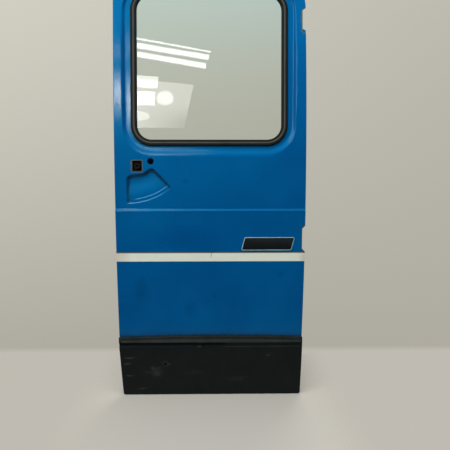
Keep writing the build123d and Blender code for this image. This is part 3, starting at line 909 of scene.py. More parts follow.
@dataclass(frozen=True)
class WeatheredRubber(Finish):
    """Extruded rubber: near black and dull, greyed in patches by sun and dust."""

    colour: str = "#090A09"
    greyed: str = "#191917"

    def shade(self, tree: Tree, place: Socket) -> Node:
        """Adds greyed patches and a fine dull grain."""
        patch = add(tree, "ShaderNodeTexNoise", {"Vector": place, "Scale": 1 / (60 * MM), "Detail": 6.0})
        tone = add(tree, "ShaderNodeMix",
                   {"Factor": patch, "A": linear(self.colour), "B": linear(self.greyed)}, data_type="RGBA")
        rough = add(tree, "ShaderNodeMapRange", {"Value": patch, "To Min": 0.45, "To Max": 0.75})
        # The grain of moulded rubber is finer than a millimetre; it is drawn at 3 mm to show.
        grain = add(tree, "ShaderNodeTexNoise", {"Vector": place, "Scale": 1 / (3 * MM), "Detail": 2.0})
        bump = add(tree, "ShaderNodeBump", {"Height": grain, "Strength": 0.25, "Distance": 0.4 * MM})
        return add(tree, "ShaderNodeBsdfPrincipled",
                   {"Base Color": tone, "Roughness": rough, "Normal": bump, "Specular IOR Level": 0.14})


@dataclass(frozen=True)
class ToughenedGlass(Finish):
    """Flat toughened glass: clear, faintly green, with smears that dull its reflections in places."""

    tint: str = "#EEF3EE"

    def shade(self, tree: Tree, place: Socket) -> Node:
        """Adds smears of a hand's width to clear glass."""
        smear = add(tree, "ShaderNodeTexNoise", {"Vector": place, "Scale": 1 / (90 * MM), "Detail": 4.0})
        rough = add(tree, "ShaderNodeMapRange",
                    {"Value": smear, "From Min": 0.45, "From Max": 0.75, "To Max": 0.03})
        return add(tree, "ShaderNodeBsdfPrincipled",
                   {"Base Color": linear(self.tint), "Roughness": rough, "Transmission Weight": 1.0,
                    "IOR": 1.5})


@dataclass(frozen=True)
class VinylStripe(Finish):
    """Self-adhesive vinyl: an even off-white with a satin face, with painted shade along its upper edge and
    cracked by age.
    """

    colour: str = "#DDE4D6"
    yellowed: str = "#D6D9CA"
    stain: str = "#B89C88"
    dirt_and_shade: str = "#2C3032"
    crack_x: float = 366.0
    crack_slant: float = 0.25
    low: float = 543.0
    high: float = 580.0
    stained_ends: tuple[Point, ...] = ((0, 55), (730, 700))

    def shade(self, tree: Tree, place: Socket) -> Node:
        """Adds yellowing, stained ends, painted shade along the upper edge and one crack."""
        shift = add(tree, "ShaderNodeMapping", {"Vector": place, "Location": tuple(-LEAF.origin)})
        axes = add(tree, "ShaderNodeSeparateXYZ", {"Vector": shift})
        across, up = axes.outputs["X"], axes.outputs["Z"]
        cloud = add(tree, "ShaderNodeTexNoise", {"Vector": place, "Scale": 1 / (45 * MM), "Detail": 5.0})
        tone = add(tree, "ShaderNodeMix",
                   {"Factor": cloud, "A": linear(self.colour), "B": linear(self.yellowed)}, data_type="RGBA")
        for near, far in self.stained_ends:
            end = add(tree, "ShaderNodeMapRange",
                      {"Value": across, "From Min": far * MM, "From Max": near * MM})
            spread = add(tree, "ShaderNodeMath", {0: end, 1: cloud}, operation="MULTIPLY")
            tone = add(tree, "ShaderNodeMix", {"Factor": spread, "A": tone, "B": linear(self.stain)},
                       data_type="RGBA")
        # Painted shade darkens the upper few millimetres of the stripe.
        top = add(tree, "ShaderNodeMapRange",
                  {"Value": up, "From Min": (self.high - 6) * MM, "From Max": (self.high - 2.5) * MM,
                   "To Max": 0.95})
        tone = add(tree, "ShaderNodeMix", {"Factor": top, "A": tone, "B": linear(self.dirt_and_shade)},
                   data_type="RGBA")
        # The crack is a hair's width; it is drawn 2 mm wide to show.
        slant = add(tree, "ShaderNodeMath", {0: up, 1: -self.crack_slant, 2: across},
                    operation="MULTIPLY_ADD")
        wavy = add(tree, "ShaderNodeMath", {0: cloud, 1: 12 * MM, 2: slant}, operation="MULTIPLY_ADD")
        middle = (self.crack_x - self.crack_slant * (self.low + self.high) / 2 + 6) * MM
        away = add(tree, "ShaderNodeMath", {0: wavy, 1: middle}, operation="SUBTRACT")
        away = add(tree, "ShaderNodeMath", {0: away}, operation="ABSOLUTE")
        crack = add(tree, "ShaderNodeMapRange",
                    {"Value": away, "From Min": 2.2 * MM, "From Max": 0.6 * MM, "To Max": 0.6})
        upper = add(tree, "ShaderNodeMapRange",
                    {"Value": up, "From Min": (self.low + 12) * MM, "From Max": (self.low + 20) * MM})
        crack = add(tree, "ShaderNodeMath", {0: crack, 1: upper}, operation="MULTIPLY")
        tone = add(tree, "ShaderNodeMix", {"Factor": crack, "A": tone, "B": linear(self.dirt_and_shade)},
                   data_type="RGBA")
        rough = add(tree, "ShaderNodeMapRange", {"Value": cloud, "To Min": 0.35, "To Max": 0.55})
        return add(tree, "ShaderNodeBsdfPrincipled",
                   {"Base Color": tone, "Roughness": rough, "Specular IOR Level": 0.3})


@dataclass(frozen=True)
class GrainedPlastic(Finish):
    """Injection-moulded black polypropylene: a dull leathery grain that whitens where it was scuffed."""

    colour: str = "#0B0C0B"
    greyed: str = "#161816"
    dust: str = "#5A5A53"
    dirt_and_shade: str = "#030303"
    scuffs: tuple[Mark, ...] = ()

    def shade(self, tree: Tree, place: Socket) -> Node:
        """Adds greyed patches, streaky scuffs, dust with a painted highlight on what faces up, painted shade
        in the hollows and the moulded grain.
        """
        cloud = add(tree, "ShaderNodeTexNoise", {"Vector": place, "Scale": 1 / (70 * MM), "Detail": 6.0})
        tone = add(tree, "ShaderNodeMix",
                   {"Factor": cloud, "A": linear(self.colour), "B": linear(self.greyed)}, data_type="RGBA")
        drawn = add(tree, "ShaderNodeMapping", {"Vector": place, "Scale": (0.3, 1, 1)})
        streak = add(tree, "ShaderNodeTexNoise", {"Vector": drawn, "Scale": 1 / (7 * MM), "Detail": 6.0})
        for scuff in self.scuffs:
            tone = scuff.cover(tree, place, streak, tone)
        # Dust lightens what faces up; on the lip's sloped face this is also a painted highlight.
        normal = add(tree, "ShaderNodeNewGeometry").outputs["Normal"]
        upward = add(tree, "ShaderNodeSeparateXYZ", {"Vector": normal}).outputs["Z"]
        settled = add(tree, "ShaderNodeMapRange", {"Value": upward, "From Min": 0.05, "From Max": 0.4})
        settled = add(tree, "ShaderNodeMath", {0: settled, 1: cloud}, operation="MULTIPLY")
        tone = add(tree, "ShaderNodeMix", {"Factor": settled, "A": tone, "B": linear(self.dust)},
                   data_type="RGBA")
        # The groove attribute carries painted shade for the groove, the lip's upper edge and the hole.
        groove = add(tree, "ShaderNodeAttribute", attribute_name="groove").outputs["Fac"]
        tone = add(tree, "ShaderNodeMix", {"Factor": groove, "A": tone, "B": linear(self.dirt_and_shade)},
                   data_type="RGBA")
        rough = add(tree, "ShaderNodeMapRange", {"Value": streak, "To Min": 0.55, "To Max": 0.8})
        # The moulded grain is about 1 mm; it is drawn at 2.5 mm to show.
        grain = add(tree, "ShaderNodeTexVoronoi", {"Vector": place, "Scale": 1 / (2.5 * MM)})
        bump = add(tree, "ShaderNodeBump", {"Height": grain, "Strength": 0.35, "Distance": 0.5 * MM})
        return add(tree, "ShaderNodeBsdfPrincipled",
                   {"Base Color": tone, "Roughness": rough, "Normal": bump, "Specular IOR Level": 0.14})


@dataclass(frozen=True)
class PlatedSteel(Finish):
    """Zinc-plated pressed steel: dull grey metal with brown bloom where the plating has gone."""

    colour: str = "#8F8E88"
    bloom: str = "#5C4A3A"
    bloom_share: float = 0.5
    roughness: float = 0.38

    def shade(self, tree: Tree, place: Socket) -> Node:
        """Adds brown bloom that also dulls the metal."""
        cloud = add(tree, "ShaderNodeTexNoise", {"Vector": place, "Scale": 1 / (18 * MM), "Detail": 6.0})
        bloomed = add(tree, "ShaderNodeMapRange",
                      {"Value": cloud, "From Min": 0.45, "From Max": 0.7, "To Max": self.bloom_share})
        tone = add(tree, "ShaderNodeMix",
                   {"Factor": bloomed, "A": linear(self.colour), "B": linear(self.bloom)}, data_type="RGBA")
        rough = add(tree, "ShaderNodeMapRange",
                    {"Value": cloud, "To Min": self.roughness, "To Max": self.roughness + 0.3})
        bump = add(tree, "ShaderNodeBump", {"Height": cloud, "Strength": 0.2, "Distance": 0.5 * MM})
        return add(tree, "ShaderNodeBsdfPrincipled",
                   {"Base Color": tone, "Roughness": rough, "Normal": bump, "Metallic": 1.0})


# Sub-assemblies


@dataclass
class OuterSkin:
    """Pressed outer panel with its recess, pocket, swage line, holes, notches and folded edge."""

    sheet: float = 1 * MM
    hem_back: float = 3.9 * MM
    hem_width: float = 12 * MM
    edge_round: float = 3 * MM
    handle: Point = (86 * MM, 910 * MM)
    square_half: Point = (18 * MM, 20 * MM)
    square_corner: float = 3 * MM
    lock_offset: Point = (51 * MM, 18 * MM)
    lock_radius: float = 12.5 * MM
    pocket_points: tuple[Point, ...] = ((-37, -141), (126, -83), (56, -11), (24, -32), (-37, -41))
    pocket_bulge: float = 15 * MM
    pocket_corner: float = 12 * MM
    pocket_depth: float = 10.5 * MM
    pocket_wall: float = 7 * MM
    pocket_ledge: float = 11 * MM
    pocket_step: float = 6 * MM
    pocket_low: float = 0.2
    pocket_inner_fade: Point = (-40 * MM, 50 * MM)
    pocket_outer_fade: Point = (60 * MM, 120 * MM)
    pocket_outer_loss: float = 0.5
    pocket_shallow: float = 0.02
    pocket_slope: float = 90 * MM
    pocket_drop: float = 70 * MM
    # Middle height, length and floor of each hinge notch
    notches: tuple[Triple, ...] = ((631 * MM, 102 * MM, 718 * MM), (1454 * MM, 102 * MM, 713 * MM))
    notch_shoulder: float = 12 * MM
    notch_corner: float = 4 * MM
    notch_reach: float = 30 * MM
    # Reach and strength of wear, and of painted shade mixed with dirt, along each edge
    edge_wear: Point = (1.5 * MM, 0.62)
    square_wear: Point = (9 * MM, 0.95)
    notch_wear: Point = (5 * MM, 1.0)
    seal_shade: Point = (3 * MM, 0.6)
    crease_shade: Point = (4 * MM, 0.35)
    crease_below: float = 8 * MM
    pocket_shade: Point = (5 * MM, 1.8)
    foot_shade: Point = (8 * MM, 2.0)
    # Spacing of points, and rows of them where the sheet bends, in millimetres or as shares of the slope
    coarse: float = 15 * MM
    fine: float = 9 * MM
    turn_points: int = 7
    curve_points: int = 8
    lock_points: int = 40
    notch_points: int = 6
    notch_spacing: float = 5 * MM
    pocket_spacing: float = 6 * MM
    square_spacing: float = 4 * MM
    sharp_angle: float = 40
    slope_rows: Triple = (-0.12, 0.9, 0.03)
    pocket_rows: Triple = (-20.4, 8.5, 1.2)
    crease_rows: tuple[int, int] = (-8, 9)
    foot_rows: tuple[float, ...] = (-4, 0, 3, 6, 10, 15, 21)
    edge_rows: tuple[float, ...] = (0.3, 0.8, 1.4, 2.0, 3.0)
    # Room that the even grid leaves for those rows: middle and half width, or width alone
    slope_clear: Point = (0.4, 0.56)
    pocket_clear: Point = (-6 * MM, 17 * MM)
    crease_clear: float = 14 * MM
    edge_clear: float = 6 * MM
    least_gap: float = 0.2 * MM
    marks: tuple[Mark, ...] = (
        Mark(17.8, 1137.9, 9, "#16242C"), Mark(34.6, 1137, 7, "#16242C", 0.8),
        Mark(380.5, 404, 8, "#0A3A4C", 0.7), Mark(385, 398, 4, "#1B2A2A", 0.5), Mark(60, 560, 3, "#33302C"),
        Mark(700, 655, 5, "#23303A", 0.6), Mark(93, 432, 76, "#00305A", 0.35, 0.5),
        Mark(637, 490, 24, "#003A66", 0.4), Mark(285, 352, 62, "#003264", 0.3, 0.7),
        Mark(253, 632, 74, "#003A7A", 0.45, 2.4), Mark(270, 852, 13, "#003560", 0.35, 1.5))

    def __post_init__(self) -> None:
        """Works out the outlines that are asked for again and again."""
        foot, tip, *others = (np.array(p) * MM + self.handle for p in self.pocket_points)
        self.pocket = self.pocket_outline()
        side = (tip - others[0]) / np.hypot(*(tip - others[0]))
        lowered = np.vstack((foot - (0, self.pocket_drop), tip + side * self.pocket_drop, *others))
        self.pocket_walls = rounded_corners(lowered, self.pocket_corner, self.turn_points)
        self.notch_outlines = [self.notch_outline(*notch) for notch in self.notches]

    def pocket_outline(self) -> Plan:
        """Rounded outline of the hand pocket, counterclockwise."""
        foot, tip, *others = (np.array(p) * MM + self.handle for p in self.pocket_points)
        shares = np.linspace(0, 1, self.curve_points)[1:-1, None]
        across = np.array((tip[1] - foot[1], foot[0] - tip[0])) / np.hypot(*(tip - foot))
        curve = foot + shares * (tip - foot) + 4 * shares * (1 - shares) * self.pocket_bulge * across
        corners = np.vstack((foot, curve, tip, *others))
        return spaced(rounded_corners(corners, self.pocket_corner, self.turn_points), self.pocket_spacing)

    def pocket_sunk(self, x: Plan, z: Plan) -> Plan:
        """Share of the pocket's depth: steep walls, and two steps along its lower arc before a long ramp."""
        foot, tip = (np.array(p) * MM + self.handle for p in self.pocket_points[:2])
        chord = tip - foot
        length = float(np.hypot(*chord))
        radius = length ** 2 / (8 * self.pocket_bulge) + self.pocket_bulge / 2
        up = np.array((-chord[1], chord[0])) / length
        middle = (foot + tip) / 2 + (radius - self.pocket_bulge) * up
        into = radius - np.hypot(x - middle[0], z - middle[1])
        ledge, step, low = self.pocket_ledge, self.pocket_step, self.pocket_low
        aside = x - self.handle[0]
        inner = smooth_step(ledge, ledge + step, into) * smooth_step(*self.pocket_inner_fade, aside)
        outer = smooth_step(-step / 2, step / 2, into)
        outer = outer * (1 - self.pocket_outer_loss * smooth_step(*self.pocket_outer_fade, aside))
        ramp = smooth_step(ledge + step, self.pocket_slope, into)
        slope = low * (outer + inner) + (1 - 2 * low) * ramp
        wall = self.pocket_wall
        return slope * smooth_step(-wall, wall, -polygon_distance(x, z, self.pocket_walls))

    def notch_outline(self, centre: float, length: float, floor: float) -> Plan:
        """Outline of a hinge notch with its floor at an x, closed outside the leaf."""
        half = length / 2 - self.notch_shoulder
        mouth = LEAF.width + self.notch_reach
        flare = half + self.notch_shoulder * (mouth - floor) / (LEAF.width - floor)
        corners = np.array(((floor, centre + half), (floor, centre - half), (mouth, centre - flare),
                            (mouth, centre + flare)))
        return spaced(rounded_corners(corners, self.notch_corner, self.notch_points), self.notch_spacing)

    def square_box(self) -> tuple[Point, Point]:
        """Lower and upper corner of the handle's square hole."""
        (x, z), (wide, tall) = self.handle, self.square_half
        return (x - wide, z - tall), (x + wide, z + tall)

    def lock_centre(self) -> Point:
        """Middle of the lock hole."""
        return self.handle[0] + self.lock_offset[0], self.handle[1] + self.lock_offset[1]

    def hole_distance(self, x: Plan, z: Plan) -> Plan:
        """Distance out of the handle holes."""
        lock = self.lock_centre()
        square = rounded_box(x, z, *self.square_box(), self.square_corner)
        return np.minimum(square, np.hypot(x - lock[0], z - lock[1]) - self.lock_radius)

    def notch_distance(self, x: Plan, z: Plan) -> Plan:
        """Distance out of the two hinge notches."""
        return np.minimum.reduce([polygon_distance(x, z, outline) for outline in self.notch_outlines])

    def keep(self, x: Plan, z: Plan) -> Plan:
        """Distance into the sheet from its outline, window and holes."""
        window = WINDOW.sight_distance(x, z) - WINDOW.seal_width + WINDOW.seal_lap
        return np.minimum.reduce([LEAF.inside(x, z), window, self.hole_distance(x, z),
                                  self.notch_distance(x, z)])

    def front(self, x: Plan, z: Plan) -> Plan:
        """Y of the outer face, with every pressed edge rounded."""
        rise = round_max(WINDOW.slope_share(x, z) * WINDOW.recess_reach, np.zeros(x.shape), self.edge_round)
        face = round_max(LEAF.panel(0, z), WINDOW.layer(WINDOW.recess_depth - rise, z), self.edge_round)
        pocket = self.pocket_depth * self.pocket_sunk(x, z)
        return face + pocket + rolled_edge(LEAF.inside(x, z), self.hem_back / 2)

    def back(self, x: Plan, z: Plan) -> Plan:
        """Y of the inner face."""
        return self.front(x, z) + self.sheet

    def plan_points(self) -> Plan:
        """Loose front view points, close together where the sheet bends."""
        groups = [WINDOW.slope_loop(row, self.fine) for row in np.arange(*self.slope_rows)]
        groups += [offset_loop(self.pocket, row * MM) for row in np.arange(*self.pocket_rows)]
        columns = np.arange(self.coarse / 2, LEAF.width, self.coarse)
        levels = LEAF.crease_z + np.arange(*self.crease_rows) * MM
        groups.append(np.array([(x, z) for z in levels for x in columns]))
        foot = LEAF.cladding_edge(columns)
        groups += [np.column_stack((columns, foot + row * MM)) for row in self.foot_rows]
        groups += [np.vstack(LEAF.outline(row * MM, self.fine)) for row in self.edge_rows]
        rows = np.arange(self.coarse / 2, LEAF.height, self.coarse)
        grid = np.array([(x, z) for z in rows for x in columns])
        (slope, slope_half), (pocket, pocket_half) = self.slope_clear, self.pocket_clear
        clear = np.abs(WINDOW.slope_share(*grid.T) - slope) > slope_half
        clear &= np.abs(grid[:, 1] - LEAF.crease_z) > self.crease_clear
        clear &= np.abs(polygon_distance(*grid.T, self.pocket) - pocket) > pocket_half
        clear &= LEAF.inside(*grid.T) > self.edge_clear
        points = np.vstack([*groups, grid[clear]])
        return points[self.keep(*points.T) > self.least_gap]

    def loops(self) -> list[Plan]:
        """Chains that the faces follow: outline, window, holes and notches."""
        square = rounded_loop(*self.square_box(), self.square_corner, self.square_spacing)
        aperture = WINDOW.sight_loop(WINDOW.seal_width - WINDOW.seal_lap, self.fine)
        lock = circle(self.lock_centre(), self.lock_radius, self.lock_points)
        return [np.vstack(LEAF.outline(0, self.fine)), aperture, lock, square, *self.notch_outlines]

    def wear(self, piece: Piece, x: Plan, z: Plan) -> None:
        """Stores how worn each corner of the sheet is, and how much painted shade mixed with dirt it takes.
        """
        square = np.abs(rounded_box(x, z, *self.square_box(), self.square_corner))
        worn = [fading(LEAF.inside(x, z), *self.edge_wear), fading(square, *self.square_wear),
                fading(np.maximum(self.notch_distance(x, z), 0), *self.notch_wear)]
        write_attribute(piece, "wear", np.clip(np.maximum.reduce(worn), 0, 1))
        # Painted shade, spotted with dirt, falls along the seal, below the swage line, on the pocket's walls
        # and just above the cladding.
        seal = fading(np.abs(WINDOW.sight_distance(x, z) - WINDOW.seal_width), *self.seal_shade)
        crease = fading(np.abs(z - LEAF.crease_z + self.crease_below), *self.crease_shade)
        pocket = fading(np.abs(polygon_distance(x, z, self.pocket_walls)), *self.pocket_shade)
        pocket *= self.pocket_sunk(x, z) > self.pocket_shallow
        foot = fading(np.maximum(z - LEAF.cladding_edge(x), 0), *self.foot_shade)
        # The second half of the corners is the back of the sheet, which takes no painted shade above the
        # cladding.
        foot[len(x) // 2:] = 0
        write_attribute(piece, "grime", np.maximum.reduce([seal, crease, pocket, foot]))

    def hem_spans(self) -> tuple[Point, Point]:
        """Heights of the hinge edge between which the folded edge runs."""
        (low, low_size, _), (high, high_size, _) = self.notches
        return ((low + low_size / 2, high - high_size / 2), (high + high_size / 2, low - low_size / 2))

    def hem(self) -> Piece:
        """Folded edge behind the outline, broken by the notches."""
        radius = self.hem_back / 2
        turns = np.radians(np.linspace(0, 90, self.turn_points))
        profile = [(radius - radius * math.cos(a), radius + radius * math.sin(a)) for a in turns]
        profile += [(self.hem_width, self.hem_back), (self.hem_width, self.hem_back - self.sheet),
                    (self.sheet, self.hem_back - self.sheet), (self.sheet, radius)]
        depths = np.array([d for _, d in profile])
        points, faces, size, start = [], [], len(profile), 0
        for span in self.hem_spans():
            rings = np.array([LEAF.path(inset, self.fine, *span) for inset, _ in profile])
            count = rings.shape[1]
            for i in range(count):
                x, z = rings[:, i].T
                points.append(LEAF.to_model(x, LEAF.panel(depths, z), z))
            for here in range(start, start + (count - 1) * size, size):
                faces += [(here + j, here + (j + 1) % size, here + size + (j + 1) % size, here + size + j)
                          for j in range(size)]
            last = start + (count - 1) * size
            faces += [tuple(range(start + size - 1, start - 1, -1)), tuple(range(last, last + size))]
            start += count * size
        return close_up(place_mesh("skin_hem", np.vstack(points), faces), self.sharp_angle)

    def build(self, finish: Material) -> None:
        """Makes the sheet and its folded edge and gives them their paint."""
        piece, x, z = pressed_sheet("outer_panel", self.plan_points(), self.loops(), self.keep, self.front,
                                    self.back)
        self.wear(piece, x, z)
        settle(piece, Slot.PAINT, finish, "outer_skin")
        settle(self.hem(), Slot.PAINT, finish)


@dataclass
class WindowUnit:
    """Fixed pane in its rubber seal, with the filler strip that locks the seal."""

    seal_outline: tuple[Point, ...] = (
        (0.3, 10.6), (0.5, 8.6), (1.4, 6.9), (3.0, 5.8), (5.0, 5.2), (7.0, 5.0), (7.8, 5.3), (8.0, 6.2),
        (8.0, 7.5), (17.0, 7.5), (17.0, 6.2), (17.2, 5.3), (18.0, 5.0), (20.2, 5.2), (22.4, 5.9), (24.0, 7.2),
        (24.8, 9.0), (25.0, 11.8), (15.8, 11.8), (15.8, 14.9), (25.0, 14.9), (24.6, 17.6), (23.0, 19.7),
        (20.0, 20.7), (5.0, 20.7), (2.0, 19.7), (0.4, 17.8), (0.2, 16.1), (9.2, 16.1), (9.2, 10.6))
    filler_outline: tuple[Point, ...] = (
        (9.0, 7.3), (9.0, 5.7), (9.5, 4.8), (10.6, 4.2), (12.5, 4.0), (14.4, 4.2), (15.5, 4.8), (16.0, 5.7),
        (16.0, 7.3))

    def build(self, rubber: Material, strip: Material, glass: Material) -> None:
        """Lays the seal and its strip and dresses the pane."""
        profile = SweptProfile()
        seal = profile.lay("seal_profile", self.seal_outline, rubber)
        settle(seal, Slot.RUBBER, rubber, "window_seal")
        filler = profile.lay("filler_profile", self.filler_outline, strip)
        settle(filler, Slot.FILLER, strip, "seal_filler_strip")
        dress(glass, "window_glass")


@dataclass
class LowerCladding:
    """Moulded panel along the foot of the leaf with a sloped lip and a groove below it."""

    drop: float = 8 * MM
    proud: float = 13 * MM
    corner: float = 10 * MM
    lip_foot: float = 213 * MM
    lip_edge: float = 5 * MM
    groove_foot: float = 199 * MM
    groove_depth: float = 5.5 * MM
    groove_blend: float = 3.5 * MM
    groove_end: float = 400 * MM
    bridge_x: float = 324 * MM
    bridge_half: float = 5 * MM
    edge_round: float = 4 * MM
    back_gap: float = 0.2 * MM
    hole: Point = (180 * MM, 126 * MM)
    hole_radius: float = 4.5 * MM
    hole_points: int = 20
    hole_shade_reach: float = 0.5 * MM
    groove_loss: float = 0.75
    groove_fade: float = 30 * MM
    groove_shade_span: Point = (0.03, 0.5)
    lip_shade: float = 0.8
    lip_shade_span: Point = (-15 * MM, -8 * MM)
    # Spacing of columns, bands of rows (first, end, spacing) and loops along the edges, in millimetres
    column_step: float = 10 * MM
    edge_step: float = 10 * MM
    corner_points: int = 9
    side_points: int = 24
    top_points: int = 70
    row_bands: tuple[Triple, ...] = ((0, 190, 12), (193, 219, 1.0), (221, 242, 4))
    edge_rows: tuple[float, ...] = (0.3, 0.9, 1.7, 2.8, 4.0)
    hole_rows: tuple[float, ...] = (2, 5)
    edge_clear: float = 5 * MM
    least_gap: float = 0.1 * MM
    scuffs: tuple[Mark, ...] = (
        Mark(38, 152, 7, "#34342F", 0.8, 4), Mark(30, 128, 8, "#33332F", 0.7, 3),
        Mark(34, 76, 6, "#3A3934", 0.8, 3.5), Mark(132, 108, 13, "#33332F", 0.7, 1.2),
        Mark(150, 84, 9, "#33332F", 0.7, 1.5), Mark(110, 92, 7, "#2E2E2B", 0.6, 3),
        Mark(594, 162, 9, "#34342F", 0.7, 1.4), Mark(196, 128, 7, "#34342F", 0.7),
        Mark(182, 127, 20, "#2E2E2A", 0.6), Mark(147, 90, 34, "#2B2A27", 0.8),
        Mark(300, 90, 16, "#252623", 0.5, 3), Mark(470, 60, 18, "#242522", 0.5, 3),
        Mark(90, 20, 6, "#302F2B", 0.6, 6))

    def __post_init__(self) -> None:
        """Works out the outline that is asked for again and again."""
        self.outline = self.front_outline()

    def front_outline(self) -> Plan:
        """Outline with its arched upper edge, counterclockwise."""
        left, low, turn = -LEAF.cladding_overhang, -self.drop, self.corner
        heights = np.linspace(low + turn, LEAF.cladding_top, self.side_points)
        hinge_side = np.column_stack((LEAF.hinge_edge(heights) + LEAF.cladding_overhang, heights))
        across = np.linspace(hinge_side[-1, 0], left, self.top_points)[1:]
        upper = np.column_stack((across, LEAF.cladding_edge(across)))
        foot = arc((left + turn, low + turn), turn, 180, 270, self.corner_points)
        heel = arc((hinge_side[0, 0] - turn, low + turn), turn, -90, 0, self.corner_points)[:-1]
        return spaced(np.vstack((foot, heel, hinge_side, upper)), self.edge_step)

    def keep(self, x: Plan, z: Plan) -> Plan:
        """Distance into the panel from its outline and hole."""
        hole = np.hypot(x - self.hole[0], z - self.hole[1]) - self.hole_radius
        return np.minimum(-polygon_distance(x, z, self.outline), hole)

    def groove(self, x: Plan, z: Plan) -> Plan:
        """Share of the groove's depth: broken by a bridge and shallow past its end."""
        share = 1 - self.groove_loss * smooth_step(self.groove_end, self.groove_end + self.groove_fade, x)
        share *= smooth_step(0, self.bridge_half, np.abs(x - self.bridge_x) - self.bridge_half / 2)
        blend = self.groove_blend
        lower, upper = (smooth_step(-blend, blend, z - level) for level in (self.groove_foot, self.lip_foot))
        return share * (lower - upper)

    def front(self, x: Plan, z: Plan) -> Plan:
        """Y of the outer face: panel, groove and lip."""
        slope = (self.proud - self.lip_edge) / (LEAF.cladding_top + LEAF.cladding_arch - self.lip_foot)
        lip = np.maximum(z - self.lip_foot, 0) * slope
        roll = rolled_edge(-polygon_distance(x, z, self.outline), self.edge_round)
        return LEAF.crown(lip + self.groove_depth * self.groove(x, z) - self.proud, z) + roll

    def back(self, x: Plan, z: Plan) -> Plan:
        """Y of the inner face, just off the skin."""
        return LEAF.crown(-self.back_gap, z)

    def plan_points(self) -> Plan:
        """Loose front view points, close together at the groove, the edges and the hole."""
        columns = np.arange(0, LEAF.width, self.column_step)
        rows = np.concatenate([np.arange(*band) for band in self.row_bands]) * MM
        grid = np.array([(x, z) for z in rows for x in columns])
        grid = grid[polygon_distance(*grid.T, self.outline) < -self.edge_clear]
        groups = [grid] + [offset_loop(self.outline, -row * MM) for row in self.edge_rows]
        groups += [circle(self.hole, self.hole_radius + row * MM, self.hole_points) for row in self.hole_rows]
        points = np.vstack(groups)
        return points[self.keep(*points.T) > self.least_gap]

    def paint_shade(self, piece: Piece, x: Plan, z: Plan) -> None:
        """Stores the painted shade on each corner of the panel: in the groove, under the lip and in the hole.
        """
        # Painted shade darkens the lip's upper edge, the groove and the hole's walls.
        shaded = self.lip_shade * smooth_step(*self.lip_shade_span, z - LEAF.cladding_edge(x))
        darkened = np.maximum(self.groove(x, z), self.groove(x, z + self.groove_blend))
        hole_shaded = np.hypot(x - self.hole[0], z - self.hole[1]) < self.hole_radius + self.hole_shade_reach
        dark = np.maximum.reduce([smooth_step(*self.groove_shade_span, darkened), shaded, hole_shaded])
        write_attribute(piece, "groove", dark)

    def build(self, finish: Material) -> None:
        """Makes the panel and gives it its plastic."""
        loops = [self.outline, circle(self.hole, self.hole_radius, self.hole_points)]
        piece, x, z = pressed_sheet("foot_cladding", self.plan_points(), loops, self.keep, self.front,
                                    self.back)
        self.paint_shade(piece, x, z)
        settle(piece, Slot.CLADDING, finish, "lower_cladding")


@dataclass
class Nameplate:
    """Blank plate with a bright rim and slanted ends, where a van carries its name."""

    low: float = 586 * MM
    high: float = 637 * MM
    left: float = 482 * MM
    right: float = 690 * MM
    slant: float = 14 * MM
    corner: float = 6 * MM
    rim: float = 2.4 * MM
    thickness: float = 3 * MM
    sunk: float = 0.9 * MM
    soft: float = 0.6 * MM
    gap: float = 0.1 * MM
    chamfer: Point = (0.4 * MM, 0.3 * MM)
    corner_points: int = 8
    sharp_angle: float = 40

    def outline(self) -> Plan:
        """Rounded outline of the plate, counterclockwise."""
        points = np.array(((self.left, self.low), (self.right - self.slant, self.low),
                           (self.right, self.high), (self.left + self.slant, self.high)))
        return rounded_corners(points, self.corner, self.corner_points)

    def stack(self, name: str, steps: list[Point], ring: bool) -> Piece:
        """Builds a form from loops of the outline.

        Args:
            name: Name of the piece.
            steps: Inset and height above the panel of each loop.
            ring: Whether the last loop joins the first one.

        Returns:
            The new piece.
        """
        base = self.outline()
        size, count = len(base), len(steps)
        points = []
        for inset, height in steps:
            x, z = offset_loop(base, -inset).T
            points.append(LEAF.to_model(x, LEAF.crown(-height, z), z))
        pairs = [(a, (a + 1) % count) for a in range(count if ring else count - 1)]
        faces = [(a * size + i, a * size + (i + 1) % size, b * size + (i + 1) % size, b * size + i)
                 for a, b in pairs for i in range(size)]
        if not ring:
            faces += [tuple(range(size))[::-1], tuple(range((count - 1) * size, count * size))]
        return close_up(place_mesh(name, np.vstack(points), faces), self.sharp_angle)

    def build(self, bright: Material, dark: Material) -> None:
        """Makes the rim and the sunk face."""
        top, soft, foot, inner = self.thickness, self.soft, self.gap, self.rim + self.gap
        rim = [(0, foot), (0, top - soft), (soft, top), (self.rim - soft, top), (self.rim, top - soft),
               (self.rim, foot)]
        level, (side, drop) = top - self.sunk, self.chamfer
        face = [(inner, foot), (inner, level - drop), (inner + side, level)]
        settle(self.stack("nameplate_rim", rim, True), Slot.STEEL, bright)
        settle(self.stack("nameplate_face", face, False), Slot.CLADDING, dark)


